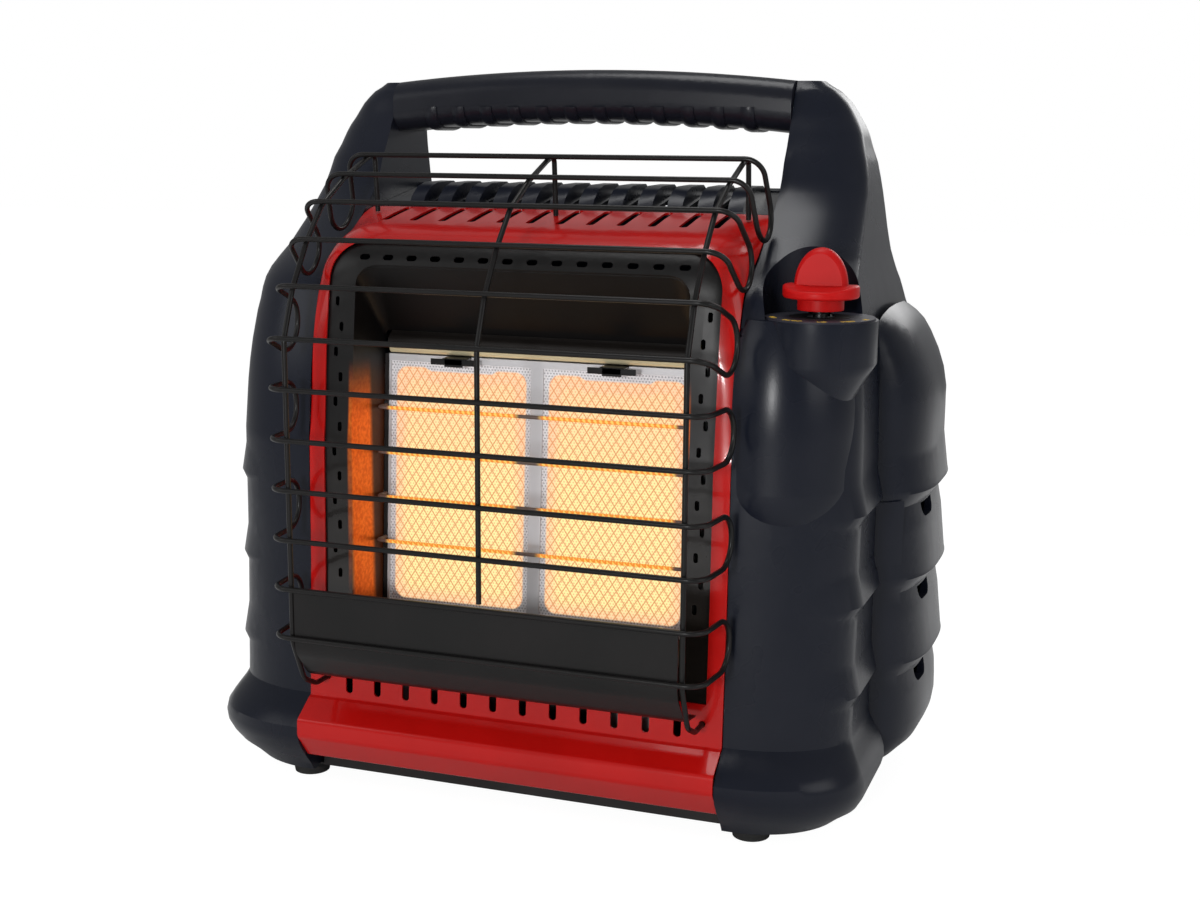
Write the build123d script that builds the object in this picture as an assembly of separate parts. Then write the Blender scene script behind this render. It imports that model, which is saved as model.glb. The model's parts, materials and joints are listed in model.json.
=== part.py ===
"""Portable indoor propane heater with two swivel-out cylinder regulators.

Millimetres, +Z up, front faces -Y, origin on the ground under the middle of the heater.
Each function builds one sub-part; main() writes one STEP file per sub-part.
"""
from build123d import *
from math import cos, hypot, radians, sin, sqrt
import os

# ---------------------------------------------------------------- driving dimensions
CENTRE_HALF_WIDTH = 128.0        # half width of the space between the two side housings
SEAM = 0.4                       # parting gap between neighbouring covers
FIT_GAP = 0.3                    # gap between pieces that sit on each other
RUNNING = 0.05                   # radial clearance of a turning or sliding fit
RIB_PITCH = 18.5                 # spacing shared by hood slots, grille ribs and grip ribs
RIB_COUNT = 12

FOOT_HEIGHT = 8.0
FOOT_RADIUS = 12.0
FOOT_X = 140.0
FOOT_FRONT_Y = -80.0
FOOT_REAR_Y = 104.0
PAN_SHEET = 1.2
PAN_HALF_WIDTH = 132.0
PAN_FRONT_Y = -90.0
PAN_REAR_Y = 124.0
PAN_TOP = FOOT_HEIGHT + PAN_SHEET
BOSS_PLACES = (-40.0, 70.0)
SCREW_R = 1.8
SCREW_HEAD_R = 4.0

HOUSING_WALL = 3.0
DOOR_SEAT_X = 187.0              # plane the side doors close against
DOOR_FRONT_Y = -8.5
DOOR_REAR_Y = 134.5
DOOR_WALL = 2.6
DOOR_BULGE = 215.0
RIDGE_LEVELS = (184.0, 133.0, 82.0)
RIDGE_PROUD = 3.6
RIDGE_INSET = 1.5                # keeps a ridge's flat front inside the housing's
VENT_LENGTH = 26.0
VENT_HEIGHT = 9.0
VENT_Y = 40.0
LATCH_LOW = 143.0
LATCH_HIGH = 181.0
HINGE_X = 194.0
HINGE_Y = 134.0
HINGE_PIN_R = 2.0
HINGE_KNUCKLE_R = 4.6
HINGE_LEVELS = (70.0, 232.0)
HINGE_LUG_LENGTH = 8.0

BAY_FRONT_Y = 0.0
BAY_REAR_Y = 126.0
BAY_FLOOR = 28.0
BAY_TOP = 280.0
BAY_WALL = 2.5

GRIP_Y = 43.0
GRIP_DEPTH = 45.0
GRIP_HEIGHT = 30.5
GRIP_END_Z = 403.3
GRIP_CROWN = 6.9
GRIP_ROUND = 12.5
GRIP_RIB_WIDTH = 8.0
GRIP_RIB_PROUD = 1.8

RED_SHEET = 1.2
HOOD_SLOT_WIDTH = 5.0
HOOD_SLOT_LENGTH = 36.0
HOOD_SLOT_Y = -27.0
WINDOW_HALF_WIDTH = 118.0        # opening in the red panel
WINDOW_LOW = 80.0
WINDOW_TOP = 326.0
WINDOW_CORNER = 22.0
LOWER_SLOT_WIDTH = 4.5
LOWER_SLOT_HEIGHT = 13.0
LOWER_SLOT_Z = 66.5
PANEL_LOW_Z = 57.0

ENAMEL_SHEET = 1.0
FLANGE_HOLE_COUNT = 14
FLANGE_HOLE_PITCH = 14.8
FLANGE_SLOT_COUNT = 12
FLANGE_SLOT_PITCH = 14.5
MOUTH_HALF_WIDTH = 102.5

BURNER_Y = -57.2                 # middle of the tile face
BURNER_Z = 181.0
BURNER_TILT = -3.3
TILE_WIDTH = 92.6
TILE_HEIGHT = 149.0
TILE_THICK = 12.0
DIVIDER = 5.0
TILE_GAP = 0.3
FRAME_WALL = 2.4
FRAME_LIP = 1.0
PLENUM_DEPTH = 32.0
PLENUM_SHEET = 1.2
ROD_RADIUS = 1.1
ROD_STANDOFF = 13.0
ROD_PITCH = 26.7
ROD_TOP = 46.0
BURNER_HALF_WIDTH = DIVIDER / 2 + TILE_WIDTH + TILE_GAP + FRAME_WALL
BURNER_HALF_HEIGHT = TILE_HEIGHT / 2 + TILE_GAP + FRAME_WALL
THROAT_TOP = BURNER_HALF_HEIGHT + 14.0

PILOT_X = 72.0
THERMO_X = 84.0
ELECTRODE_X = 60.0
PILOT_Y = -78.0
PILOT_SHELF_Z = 77.0

VENTURI_X = -30.0
VENTURI_Y = -36.0
VENTURI_Z = 82.0
VENTURI_R = 10.0
VENTURI_MOUTH_X = 92.0

WIRE_R = 1.5
WIRE_HALF_WIDTH = 127.0
LOOP_HALF_WIDTH = 131.0
LOOP_DEPTH = 40.0
WIRE_BEND = 11.0
GUARD_FRONT = 142.4              # distance of the flat lower wires in front of the middle
GUARD_PITCH = 28.56
GUARD_LOW_Z = 104.5
GUARD_UPPER = ((-40.9, 374.4), (-68.7, 363.6), (-95.7, 348.8), (-114.5, 328.6), (-131.3, 303.8))
UPRIGHT_X = 116.0
GUARD_PLATE_SHEET = 1.0

KNOB_X = 166.5
KNOB_Y = -62.0
TURRET_R = 31.0
SHELF_Z = 291.0
ALCOVE_TOP = 350.0
DIAL_THICK = 1.0
PUSH_TRAVEL = 3.0
STEM_R = 4.0
KNOB_NECK_R = 12.5
KNOB_FLANGE_R = 20.5
KNOB_TOP = 329.0
GRIP_BAR_WIDTH = 11.0
GRIP_BAR_LENGTH = 29.0
KNOB_LOW = SHELF_Z + DIAL_THICK + PUSH_TRAVEL + 0.6
KNOB_FLANGE_LOW = KNOB_LOW + 3.8
KNOB_FLANGE_HIGH = KNOB_FLANGE_LOW + 11.0
POCKET_HIGH = KNOB_LOW + 11.0
COLLAR_R = 7.4

BONNET_R = 7.5
VALVE_INLET_X = KNOB_X - 8.5
VALVE_INLET_Y = KNOB_Y + 24.0
VALVE_INLET_Z = 252.0
VALVE_OUTLET_X = KNOB_X - 10.0
VALVE_OUTLET_Y = KNOB_Y + 12.0
VALVE_PILOT_X = KNOB_X + 4.0
VALVE_PILOT_Y = KNOB_Y + 4.0

SWIVEL_X = 152.0
SWIVEL_Y = 64.0
SWIVEL_Z = 256.0
SPIGOT_R = 6.0
REGULATOR_ARM = 36.0
REGULATOR_R = 18.0
SOCKET_R = 12.7                  # 1 inch cylinder thread
SOCKET_DEPTH = 16.0
HUB_LOW = SWIVEL_Z - 24.0
HUB_HIGH = SWIVEL_Z - 10.0
HUB_R = 11.0
FITTING_R = 8.0
FITTING_INNER_X = CENTRE_HALF_WIDTH - 12.0
MANIFOLD_X = 104.0
MANIFOLD_Y = 20.0

FAN_Z = 180.0
FAN_BLADE_R = 43.0
FAN_RING_R = 46.0
FAN_SHAFT_R = 1.5
REAR_Y = 141.4                   # outer face of the rear cover
REAR_WALL = 2.5
BATTERY_HALF_WIDTH = 66.0
BATTERY_LOW = 35.0
BATTERY_HIGH = 106.0
BATTERY_DEPTH = 36.0
BATTERY_PIN_R = 1.2
BATTERY_KNUCKLE_R = 2.4
BATTERY_FOLD_ROOM = 5.4          # under the hinge, for the door's face to fold down into
BATTERY_AXIS_Y = REAR_Y - REAR_WALL + 0.2
TRAY_REAR_Y = BATTERY_AXIS_Y - 4.4

SWITCH_X = 98.0
SWITCH_Z = 92.0
JACK_Z = 52.0

PIPE_R = 3.0
PILOT_R = 1.6

# height, front y at the inner face, outer x, rear y, front corner (x, y) radii
BASE_ROWS = ((8, -99, 184, 132, 52, 44), (18, -106.5, 196, 135, 60, 46), (30, -115.5, 201, 137, 66, 50),
             (41, -117.5, 199, 138, 66, 50), (50, -109, 194, 139, 63, 46), (57, -100, 191, 140, 61, 42))
BODY_ROWS = ((57, -100, 191, 140, 61, 42), (135, -96, 191, 140, 61, 42), (211, -94.6, 191, 140, 61, 42),
             (240, -91.5, 190, 137, 60, 42), (264, -87.5, 188, 130, 58, 41), (281, -83, 186, 120, 55, 40),
             (295, -78, 184, 106, 53, 38))
NECK_ROWS = ((295, -78, 184, 106, 53, 38), (307, -68.5, 181.5, 96, 50, 34), (320, -47, 178.8, 88, 47, 30),
             (334, -28, 177, 83, 45, 27), (354.5, -4, 175, 76, 42, 24), (372, 5.5, 172, 72, 39, 22),
             (388, 15.8, 167, 69.5, 35, 20))
CROWN_ROWS = ((388, 15.8, 167, 69.5, 35, 20), (397, 21.5, 162.6, 68, 31, 18), (406, 25.5, 157, 65, 26, 15),
              (413, 29, 150, 61, 19, 12), (418.5, 34, 141.5, 55, 10.5, 8))

# (y, z) of the red panel's outer face on the middle line and where it meets the side housings
HOOD_MIDDLE = ((-8.7, 342.8), (-27.3, 339.8), (-46.7, 336.2), (-67, 330.8), (-81, 319.5), (-86.8, 297),
               (-90.3, 264), (-94.8, 211))
HOOD_SIDE = ((-8.7, 342.4), (-27.3, 334.6), (-46.7, 320), (-62, 310.8), (-71.5, 303.8), (-78.2, 294),
             (-87, 264), (-94.3, 211))
HOOD_FLAT_HALF = 102.0
PANEL_FRONT = ((-96.5, 137.0), (-101.0, PANEL_LOW_Z))
BUMPER_LINE = ((-100.9, PANEL_LOW_Z + 2.5), (-101.0, PANEL_LOW_Z - 0.5), (-103.5, 55.5), (-118.0, 46.0),
               (-118.4, 36.0), (-106.0, 20.0),
               (-91.4, 17.5))
REAR_LINE = ((60.0, 355.5), (79.0, 333.0), (90.0, 303.0), (122.0, 279.0), (141.4, 243.0), (141.4, 40.0),
             (137.0, 14.0))
# (x, z) outline of a door seen from the front, through its fullest part
DOOR_TOP_ROWS = ((290, 188.5), (286, 194), (281, 199), (274, 203.2), (262, 208.8), (250, 212.8), (237, 215))
DOOR_LOW_ROWS = ((51, 215.5), (43, 215.6), (36, 214.5), (29, 211), (23, 204), (19, 197), (17.5, 190))
# share of the door's bulge along its length, front edge to rear edge
DOOR_PLAN = ((-8.1, 0.12), (-3.0, 0.42), (6.0, 0.68), (20.0, 0.88), (38.0, 0.98), (58.0, 1.0), (86.0, 0.97),
             (108.0, 0.82), (124.0, 0.58), (134.4, 0.38))


# ---------------------------------------------------------------- helpers
def block(x, y, z):
    """Box between (low, high) pairs."""
    centre = Pos((x[0] + x[1]) / 2, (y[0] + y[1]) / 2, (z[0] + z[1]) / 2)
    return centre * Box(x[1] - x[0], y[1] - y[0], z[1] - z[0])


def post(x, y, z, radius):
    """Upright cylinder over the height range z."""
    return Pos(x, y, (z[0] + z[1]) / 2) * Cylinder(radius, z[1] - z[0])


def cross_rod(x, y, z, radius):
    """Cylinder along X over the range x."""
    return Pos((x[0] + x[1]) / 2, y, z) * Rot(0, 90, 0) * Cylinder(radius, x[1] - x[0])


def depth_rod(x, y, z, radius):
    """Cylinder along Y over the range y."""
    return Pos(x, (y[0] + y[1]) / 2, z) * Rot(90, 0, 0) * Cylinder(radius, y[1] - y[0])


def side_extrude(face, x):
    """Extrude a (y, z) face, drawn flat, over the range x."""
    return extrude(Pos(x[0], 0, 0) * (Plane.YZ * face), x[1] - x[0])


def front_extrude(face, y):
    """Extrude an (x, z) face, drawn flat, over the range y."""
    return extrude(Pos(0, y[1], 0) * (Plane.XZ * face), y[1] - y[0])


def polygon(points):
    """Flat face inside straight sides."""
    return make_face(Polyline(*points, close=True))


def strip(points, thickness, bend, side=Side.RIGHT):
    """Flat face of a bent sheet to one side of a line with rounded corners."""
    line = FilletPolyline(*points, radius=bend)
    return make_face(Wire(line.edges()).offset_2d(thickness, side=side))


def bent_wire(points, bends, radius):
    """Round wire or pipe along straight runs joined by arcs."""
    path = FilletPolyline(*points, radius=bends)
    return sweep(Plane(origin=path @ 0, z_dir=path % 0) * Circle(radius), path=path)


def mirror_x(shape):
    """The same piece for the other side of the heater."""
    return mirror(shape, about=Plane.YZ)


def inward(points, distance):
    """Move each point of a line to its left by a distance, square to the line."""
    moved = []
    last = len(points) - 1
    for i, (y, z) in enumerate(points):
        y0, z0 = points[max(i - 1, 0)]
        y1, z1 = points[min(i + 1, last)]
        length = hypot(y1 - y0, z1 - z0)
        moved.append((y - distance * (z1 - z0) / length, z + distance * (y1 - y0) / length))
    return moved


def spread(count, pitch):
    """Positions of a row of features centred on the middle line."""
    return [(i - (count - 1) / 2) * pitch for i in range(count)]


# ---------------------------------------------------------------- side housings
def housing_section(row, inset=0.0, extra_side=0.0):
    """Plan outline of a housing at one height, with an elliptical front corner."""
    z, front, outer, rear, corner_x, corner_y = row
    inner_x = CENTRE_HALF_WIDTH + inset
    front_y = front + inset
    outer_x = outer - inset + extra_side
    rear_y = rear - inset
    radius_x = min(corner_x - inset + extra_side, outer_x - inner_x - 1.5)
    radius_y = corner_y - inset
    rear_r = min(14.0, corner_y * 0.8) - inset
    knee = (outer_x - radius_x, front_y)
    edges = [
        Line((inner_x, front_y), knee),
        EllipticalCenterArc((knee[0], front_y + radius_y), radius_x, radius_y, -90, arc_size=90),
        Line((outer_x, front_y + radius_y), (outer_x, rear_y - rear_r)),
        CenterArc((outer_x - rear_r, rear_y - rear_r), rear_r, 0, 90),
        Line((outer_x - rear_r, rear_y), (inner_x, rear_y)),
        Line((inner_x, rear_y), (inner_x, front_y)),
    ]
    return Pos(0, 0, z) * make_face(edges)


def between(rows, share, index):
    """Row a share of the way from one row to the next, on a smooth curve through its neighbours."""
    last = len(rows) - 1
    four = [rows[min(max(index + k, 0), last)] for k in (-1, 0, 1, 2)]
    blended = []
    for a, b, c, d in zip(*four):
        bend = 2 * b + (c - a) * share + (2 * a - 5 * b + 4 * c - d) * share ** 2
        blended.append(0.5 * (bend + (3 * b - a - 3 * c + d) * share ** 3))
    blended[0] = rows[index][0] + (rows[index + 1][0] - rows[index][0]) * share
    return tuple(blended)


def finer(rows):
    """Rows with one more between each pair, for the tightly curved heights."""
    result = []
    for index in range(len(rows) - 1):
        result.append(rows[index])
        result.append(between(rows, 0.5, index))
    return result + [rows[-1]]


def housing_form():
    """Outer form of the right housing."""
    rows = finer(BASE_ROWS) + list(BODY_ROWS[1:3]) + finer(BODY_ROWS[3:])
    rows += finer(NECK_ROWS)[1:] + finer(CROWN_ROWS)[1:]
    return loft([housing_section(row) for row in rows], ruled=True)


def housing_hollow():
    """Space inside the right housing, open underneath."""
    rows = BASE_ROWS + BODY_ROWS[1:] + NECK_ROWS[1:] + CROWN_ROWS[1:-1]
    below = (FOOT_HEIGHT - 2.0,) + tuple(BASE_ROWS[0][1:])
    return loft([housing_section(row, HOUSING_WALL) for row in (below,) + rows], ruled=True)


def ridge(level):
    """Eyelid ridge that grows out of the housing's front corner towards the door."""
    index = [row for row in BODY_ROWS if row[0] <= level][-1]
    above = [row for row in BODY_ROWS if row[0] > level][0]
    share = (level - index[0]) / (above[0] - index[0])
    row = [a + (b - a) * share for a, b in zip(index, above)]
    faces = []
    for height, extra in ((-8.0, -1.2), (0.0, RIDGE_PROUD), (23.0, -1.2)):
        row[0] = level + height
        faces.append(housing_section(row, RIDGE_INSET, extra + RIDGE_INSET))
    return loft(faces, ruled=True)


def bay_outline(grow):
    """(y, z) outline of the cylinder bay."""
    return polygon(((BAY_FRONT_Y - grow, BAY_FLOOR - grow), (BAY_REAR_Y + grow, BAY_FLOOR - grow),
                    (BAY_REAR_Y + grow, 222 + grow * 0.5), (92 + grow * 0.5, BAY_TOP + grow),
                    (BAY_FRONT_Y - grow, BAY_TOP + grow)))


def hinge_lug(level, radius):
    """Housing's half of a door hinge: a round eye on a short web."""
    z = (level, level + HINGE_LUG_LENGTH)
    eye = post(HINGE_X, HINGE_Y, z, radius)
    web = block((DOOR_SEAT_X - 1.0, HINGE_X), (HINGE_Y - radius, HINGE_Y + radius * 0.4), z)
    return eye + web


def housing(knob_side):
    """Moulded side housing with bay, door seat, ridges, hinge lugs and, on one side, the knob shelf."""
    outer = housing_form()
    for level in RIDGE_LEVELS:
        outer += ridge(level)
    hollow = housing_hollow()
    if knob_side:
        outer += post(KNOB_X, KNOB_Y, (268.0, SHELF_Z), TURRET_R)
        outer += Pos(KNOB_X, KNOB_Y, 254.0) * Cone(14.0, TURRET_R, 28.0)
        outer -= post(KNOB_X, KNOB_Y, (SHELF_Z, ALCOVE_TOP), TURRET_R)
        shelf_low = SHELF_Z - HOUSING_WALL
        hollow += post(KNOB_X, KNOB_Y, (266.0, shelf_low), TURRET_R - HOUSING_WALL)
        hollow += Pos(KNOB_X, KNOB_Y, 252.0) * Cone(11.0, TURRET_R - HOUSING_WALL, 28.0)
        hollow -= post(KNOB_X, KNOB_Y, (shelf_low, ALCOVE_TOP + HOUSING_WALL), TURRET_R + HOUSING_WALL)
    seat = (DOOR_SEAT_X, 240.0)
    outer -= block(seat, (DOOR_FRONT_Y, 150.0), (12.0, 300.0))
    shell = outer - hollow
    seat_plate = block((DOOR_SEAT_X - HOUSING_WALL, DOOR_SEAT_X), (DOOR_FRONT_Y - HOUSING_WALL, 145.0),
                       (8.0, 303.0))
    front_web = block((150.0, 200.0), (DOOR_FRONT_Y - HOUSING_WALL, DOOR_FRONT_Y), (8.0, 303.0))
    tub = side_extrude(bay_outline(BAY_WALL), (CENTRE_HALF_WIDTH, DOOR_SEAT_X))
    shell += outer & (seat_plate + tub)
    shell += outer & front_web & block((DOOR_SEAT_X - HOUSING_WALL, 200.0), (-20.0, 0.0), (8.0, 303.0))
    shell -= side_extrude(bay_outline(0.0), (CENTRE_HALF_WIDTH + HOUSING_WALL, 250.0))
    shell -= block((DOOR_SEAT_X - 1.0, 204.0), (DOOR_FRONT_Y - 2.0, 0.0),
                   (LATCH_LOW - 0.6, LATCH_HIGH + 0.6))
    for level in HINGE_LEVELS:
        shell += hinge_lug(level, HINGE_KNUCKLE_R)
    pan = (FOOT_HEIGHT - 1.0, PAN_TOP + FIT_GAP)
    shell -= block((CENTRE_HALF_WIDTH - 1.0, CENTRE_HALF_WIDTH + HOUSING_WALL + 1.0), (-93.0, 126.0), pan)
    for boss_y in BOSS_PLACES:
        shell += post(CENTRE_HALF_WIDTH + 7.5, boss_y, (PAN_TOP, 25.0), 5.0)
        shell -= post(CENTRE_HALF_WIDTH + 7.5, boss_y, (0.0, 22.0), SCREW_R)
    shell -= post(HINGE_X, HINGE_Y, (0.0, 300.0), HINGE_PIN_R + 0.02)
    shell -= cross_rod((120.0, 140.0), SWIVEL_Y, SWIVEL_Z, FITTING_R + 0.2)
    for y, z in grip_screw_places():
        shell -= cross_rod((120.0, 135.0), y, z, SCREW_R + 0.2)
    if knob_side:
        shell -= post(KNOB_X, KNOB_Y, (280.0, 300.0), BONNET_R + 0.2)
        window = block((CENTRE_HALF_WIDTH - 1.0, CENTRE_HALF_WIDTH + HOUSING_WALL + 0.5), (-66.0, -6.0),
                       (56.0, 282.0))
        shell -= window
    return shell


def grip_screw_places():
    """(y, z) of the screws that hold the grip to each housing."""
    return ((GRIP_Y - 10.0, GRIP_END_Z), (GRIP_Y + 10.0, GRIP_END_Z))


# ---------------------------------------------------------------- side doors
def door_slice(z, reach, inset=0.0):
    """Plan outline of a door at one height, bulging from the seat plane out to reach."""
    seat = DOOR_SEAT_X + SEAM - (2.0 if inset else 0.0)
    rise = reach - inset - DOOR_SEAT_X - SEAM
    points = []
    for y, share in DOOR_PLAN:
        middle = (DOOR_PLAN[0][0] + DOOR_PLAN[-1][0]) / 2
        half = (DOOR_PLAN[-1][0] - DOOR_PLAN[0][0]) / 2
        points.append((DOOR_SEAT_X + SEAM + rise * share, middle + (y - middle) * (half - inset) / half))
    edges = [Spline(*points), Line(points[-1], (seat, points[-1][1])),
             Line((seat, points[-1][1]), (seat, points[0][1])),
             Line((seat, points[0][1]), points[0])]
    return Pos(0, 0, z) * make_face(edges)


def door_rows():
    """(height, reach) rows of a door from the top down, with an eyelid bump over each vent."""
    rows = list(DOOR_TOP_ROWS) + [(208.0, DOOR_BULGE)]
    for level in RIDGE_LEVELS:
        rows += [(level + 2.0, DOOR_BULGE + RIDGE_PROUD - 0.5), (level, DOOR_BULGE + RIDGE_PROUD),
                 (level - 8.0, DOOR_BULGE - 3.0), (level - 22.0, DOOR_BULGE)]
    return rows + list(DOOR_LOW_ROWS)


def door_form(proud=0.0):
    """Outer form of the right door."""
    return loft([door_slice(z, reach + proud) for z, reach in reversed(door_rows())], ruled=True)


def door():
    """Right door: thin moulded shell with three vents and two hinge knuckles."""
    top_z = DOOR_TOP_ROWS[0][0]
    low_z = DOOR_LOW_ROWS[-1][0]
    rows = [(z - DOOR_WALL, reach) for z, reach in DOOR_TOP_ROWS[1:]] + [(208.0, DOOR_BULGE - 3.2)]
    rows += [(51.0, DOOR_BULGE - 3.2)] + [(z + DOOR_WALL, reach) for z, reach in DOOR_LOW_ROWS[1:-1]]
    hollow = loft([door_slice(z, reach, DOOR_WALL) for z, reach in reversed(rows)], ruled=True)
    shell = door_form() - hollow
    for level in RIDGE_LEVELS:
        high = level - 9.0
        vent = block((DOOR_BULGE - 12.0, DOOR_BULGE + 10.0),
                     (VENT_Y - VENT_LENGTH / 2, VENT_Y + VENT_LENGTH / 2),
                     (high - VENT_HEIGHT, high))
        shell -= fillet(vent.edges().filter_by(Axis.X).group_by(Axis.Z)[0], VENT_HEIGHT * 0.8)
    for level in HINGE_LEVELS:
        lug = (level - SEAM, level + HINGE_LUG_LENGTH + SEAM)
        shell -= block((DOOR_SEAT_X - 2.0, 215.0), (HINGE_Y - HINGE_KNUCKLE_R - 2.4, 140.0), lug)
        knuckle = (level + HINGE_LUG_LENGTH + SEAM, level + 2 * HINGE_LUG_LENGTH + SEAM)
        eye = post(HINGE_X, HINGE_Y - 0.1, knuckle, HINGE_KNUCKLE_R)
        shell += eye & block((180.0, 210.0), (100.0, DOOR_REAR_Y), knuckle)
        shell -= post(HINGE_X, HINGE_Y, (knuckle[0] - 1.0, knuckle[1] + 1.0), HINGE_PIN_R + RUNNING)
    shell -= block((180.0, 240.0), (DOOR_REAR_Y, 150.0), (low_z - 5.0, top_z + 5.0))
    return shell


def door_latch():
    """Finger tab that wraps the door's front corner."""
    zone = block((DOOR_SEAT_X + 1.5, 207.0), (DOOR_FRONT_Y - 1.7, 8.0), (LATCH_LOW, LATCH_HIGH))
    outer = [door_slice(z, DOOR_BULGE + 2.0) for z in (LATCH_LOW, LATCH_HIGH)]
    pad = Pos(0, -1.2, 0) * loft(outer, ruled=True)
    inner = [door_slice(z, DOOR_BULGE + RIDGE_PROUD + 0.1) for z in (LATCH_LOW - 1, LATCH_HIGH + 1)]
    return (pad & zone) - loft(inner, ruled=True)


def door_pins():
    """Two short hinge pins of one door."""
    pin_length = 2 * HINGE_LUG_LENGTH
    return [post(HINGE_X, HINGE_Y, (level + 0.5, level + pin_length), HINGE_PIN_R) for level in HINGE_LEVELS]


# ---------------------------------------------------------------- handle and top grille
def grip_section(x, grow=0.0):
    """Rounded section of the grip at one place along it."""
    rise = GRIP_CROWN * (1 - (x / CENTRE_HALF_WIDTH) ** 2)
    outline = RectangleRounded(GRIP_DEPTH + 2 * grow, GRIP_HEIGHT + 2 * grow, GRIP_ROUND + grow)
    return Pos(x, GRIP_Y, GRIP_END_Z + rise) * (Plane.YZ * outline)


def carry_handle():
    """Grip bar, crowned in the middle, with rounded finger ribs underneath."""
    end = CENTRE_HALF_WIDTH - FIT_GAP
    places = (-end, -84.0, -42.0, 0.0, 42.0, 84.0, end)
    grip = loft([grip_section(x) for x in places])
    for x in spread(RIB_COUNT, RIB_PITCH):
        low = block((x - GRIP_RIB_WIDTH / 2, x + GRIP_RIB_WIDTH / 2), (0.0, GRIP_Y + 40.0),
                    (370.0, GRIP_END_Z))
        band = loft([grip_section(x - 5.0, GRIP_RIB_PROUD - 1.4), grip_section(x, GRIP_RIB_PROUD),
                     grip_section(x + 5.0, GRIP_RIB_PROUD - 1.4)])
        grip += band & low
    for side in (-1, 1):
        for y, z in grip_screw_places():
            ends = sorted((side * (CENTRE_HALF_WIDTH - 14.0), side * (CENTRE_HALF_WIDTH + 1.0)))
            grip -= cross_rod(ends, y, z, SCREW_R)
    return grip


def grip_screws():
    """Screws from inside the housings into the grip."""
    screws = []
    inner = CENTRE_HALF_WIDTH + HOUSING_WALL
    for y, z in grip_screw_places():
        screw = cross_rod((CENTRE_HALF_WIDTH - 12.0, inner), y, z, SCREW_R - 0.02)
        screw += cross_rod((inner, inner + 2.6), y, z, SCREW_HEAD_R)
        screws += [screw, mirror_x(screw)]
    return screws


def top_grille():
    """Ribbed bridge between the hood and the rear cover."""
    line = ((-7.6, 330.0), (-7.6, 342.6), (50.0, 352.2), (57.6, 353.4), (57.6, 344.0))
    half = CENTRE_HALF_WIDTH - FIT_GAP
    bridge = side_extrude(strip(line, 2.4, 2.0), (-half, half))
    rib = side_extrude(polygon(((-2.0, 343.4), (2.0, 349.0), (10.0, 354.6), (20.0, 357.0), (44.0, 357.4),
                                (54.0, 352.8))),
                       (-4.6, 4.6))
    for x in spread(RIB_COUNT, RIB_PITCH):
        bridge += Pos(x, 0, 0) * rib
    for x in spread(RIB_COUNT - 1, RIB_PITCH):
        bridge -= block((x - 3.6, x + 3.6), (4.0, 44.0), (336.0, 360.0))
    return bridge


# ---------------------------------------------------------------- red front panel
def hood_line(x, inset):
    """(y, z) outer line of the hood at one distance from the middle."""
    share = min(max((abs(x) - HOOD_FLAT_HALF) / (CENTRE_HALF_WIDTH - HOOD_FLAT_HALF), 0.0), 1.0)
    drop = 1 - sqrt(max(1 - share ** 2, 0.0))
    line = []
    for a, b in zip(HOOD_MIDDLE, HOOD_SIDE):
        line.append((a[0] + (b[0] - a[0]) * drop, a[1] + (b[1] - a[1]) * drop))
    return inward(line + list(PANEL_FRONT), inset) if inset else line + list(PANEL_FRONT)


def skin(half, inset, sheet):
    """Bent sheet that follows the hood and the front, set back by inset from the red face."""
    faces = []
    steps = [half * s for s in (0.0, 0.62, 0.8, 0.86, 0.91, 0.95, 0.98, 1.0)]
    for x in [-s for s in reversed(steps)] + steps[1:]:
        outer = hood_line(x, inset)
        inner = hood_line(x, inset + sheet)
        inner[-1] = (inner[-1][0], outer[-1][1])
        knee = len(HOOD_MIDDLE) - 1
        edges = [Spline(*outer[:knee + 1]), Polyline(*outer[knee:]), Line(outer[-1], inner[-1]),
                 Polyline(*reversed(inner[knee:])), Spline(*reversed(inner[:knee + 1])),
                 Line(inner[0], outer[0])]
        faces.append(Pos(x, 0, 0) * (Plane.YZ * make_face(edges)))
    return loft(faces, ruled=True)


def window_face(grow=0.0):
    """Opening of the front panel, drawn in (x, z), with rounded upper corners."""
    half = WINDOW_HALF_WIDTH + grow
    outline = polygon(((-half, WINDOW_LOW), (half, WINDOW_LOW), (half, WINDOW_TOP + grow),
                       (-half, WINDOW_TOP + grow)))
    return fillet(outline.vertices().group_by(Axis.Y)[-1], WINDOW_CORNER)


def front_panel():
    """Red painted panel: slotted hood, side strips, slotted lower band and rolled bumper."""
    half = CENTRE_HALF_WIDTH - SEAM
    panel = skin(half, 0.0, RED_SHEET)
    panel -= front_extrude(window_face(), (-140.0, -66.0))
    bumper = side_extrude(strip(BUMPER_LINE, RED_SHEET, [0.8, 1.5, 4.0, 6.0, 5.0], Side.LEFT),
                          (-half, half))
    panel += bumper
    for x in spread(RIB_COUNT, RIB_PITCH):
        slot = SlotOverall(HOOD_SLOT_LENGTH, HOOD_SLOT_WIDTH, rotation=90)
        panel -= extrude(Pos(x, HOOD_SLOT_Y, 320.0) * slot, 40.0)
        low = Pos(x, LOWER_SLOT_Z) * SlotOverall(LOWER_SLOT_HEIGHT, LOWER_SLOT_WIDTH, rotation=90)
        panel -= front_extrude(low, (-108.0, -92.0))
    for side in (-1, 1):
        panel -= depth_rod(side * UPRIGHT_X, (-108.0, -92.0), 69.0, WIRE_R + 0.4)
    return panel


# ---------------------------------------------------------------- firebox and burner
def tilted(part):
    """Move a piece drawn about the tile face, depth along +Y, to the burner's place."""
    return Pos(0, BURNER_Y, BURNER_Z) * Rot(BURNER_TILT, 0, 0) * part


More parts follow.
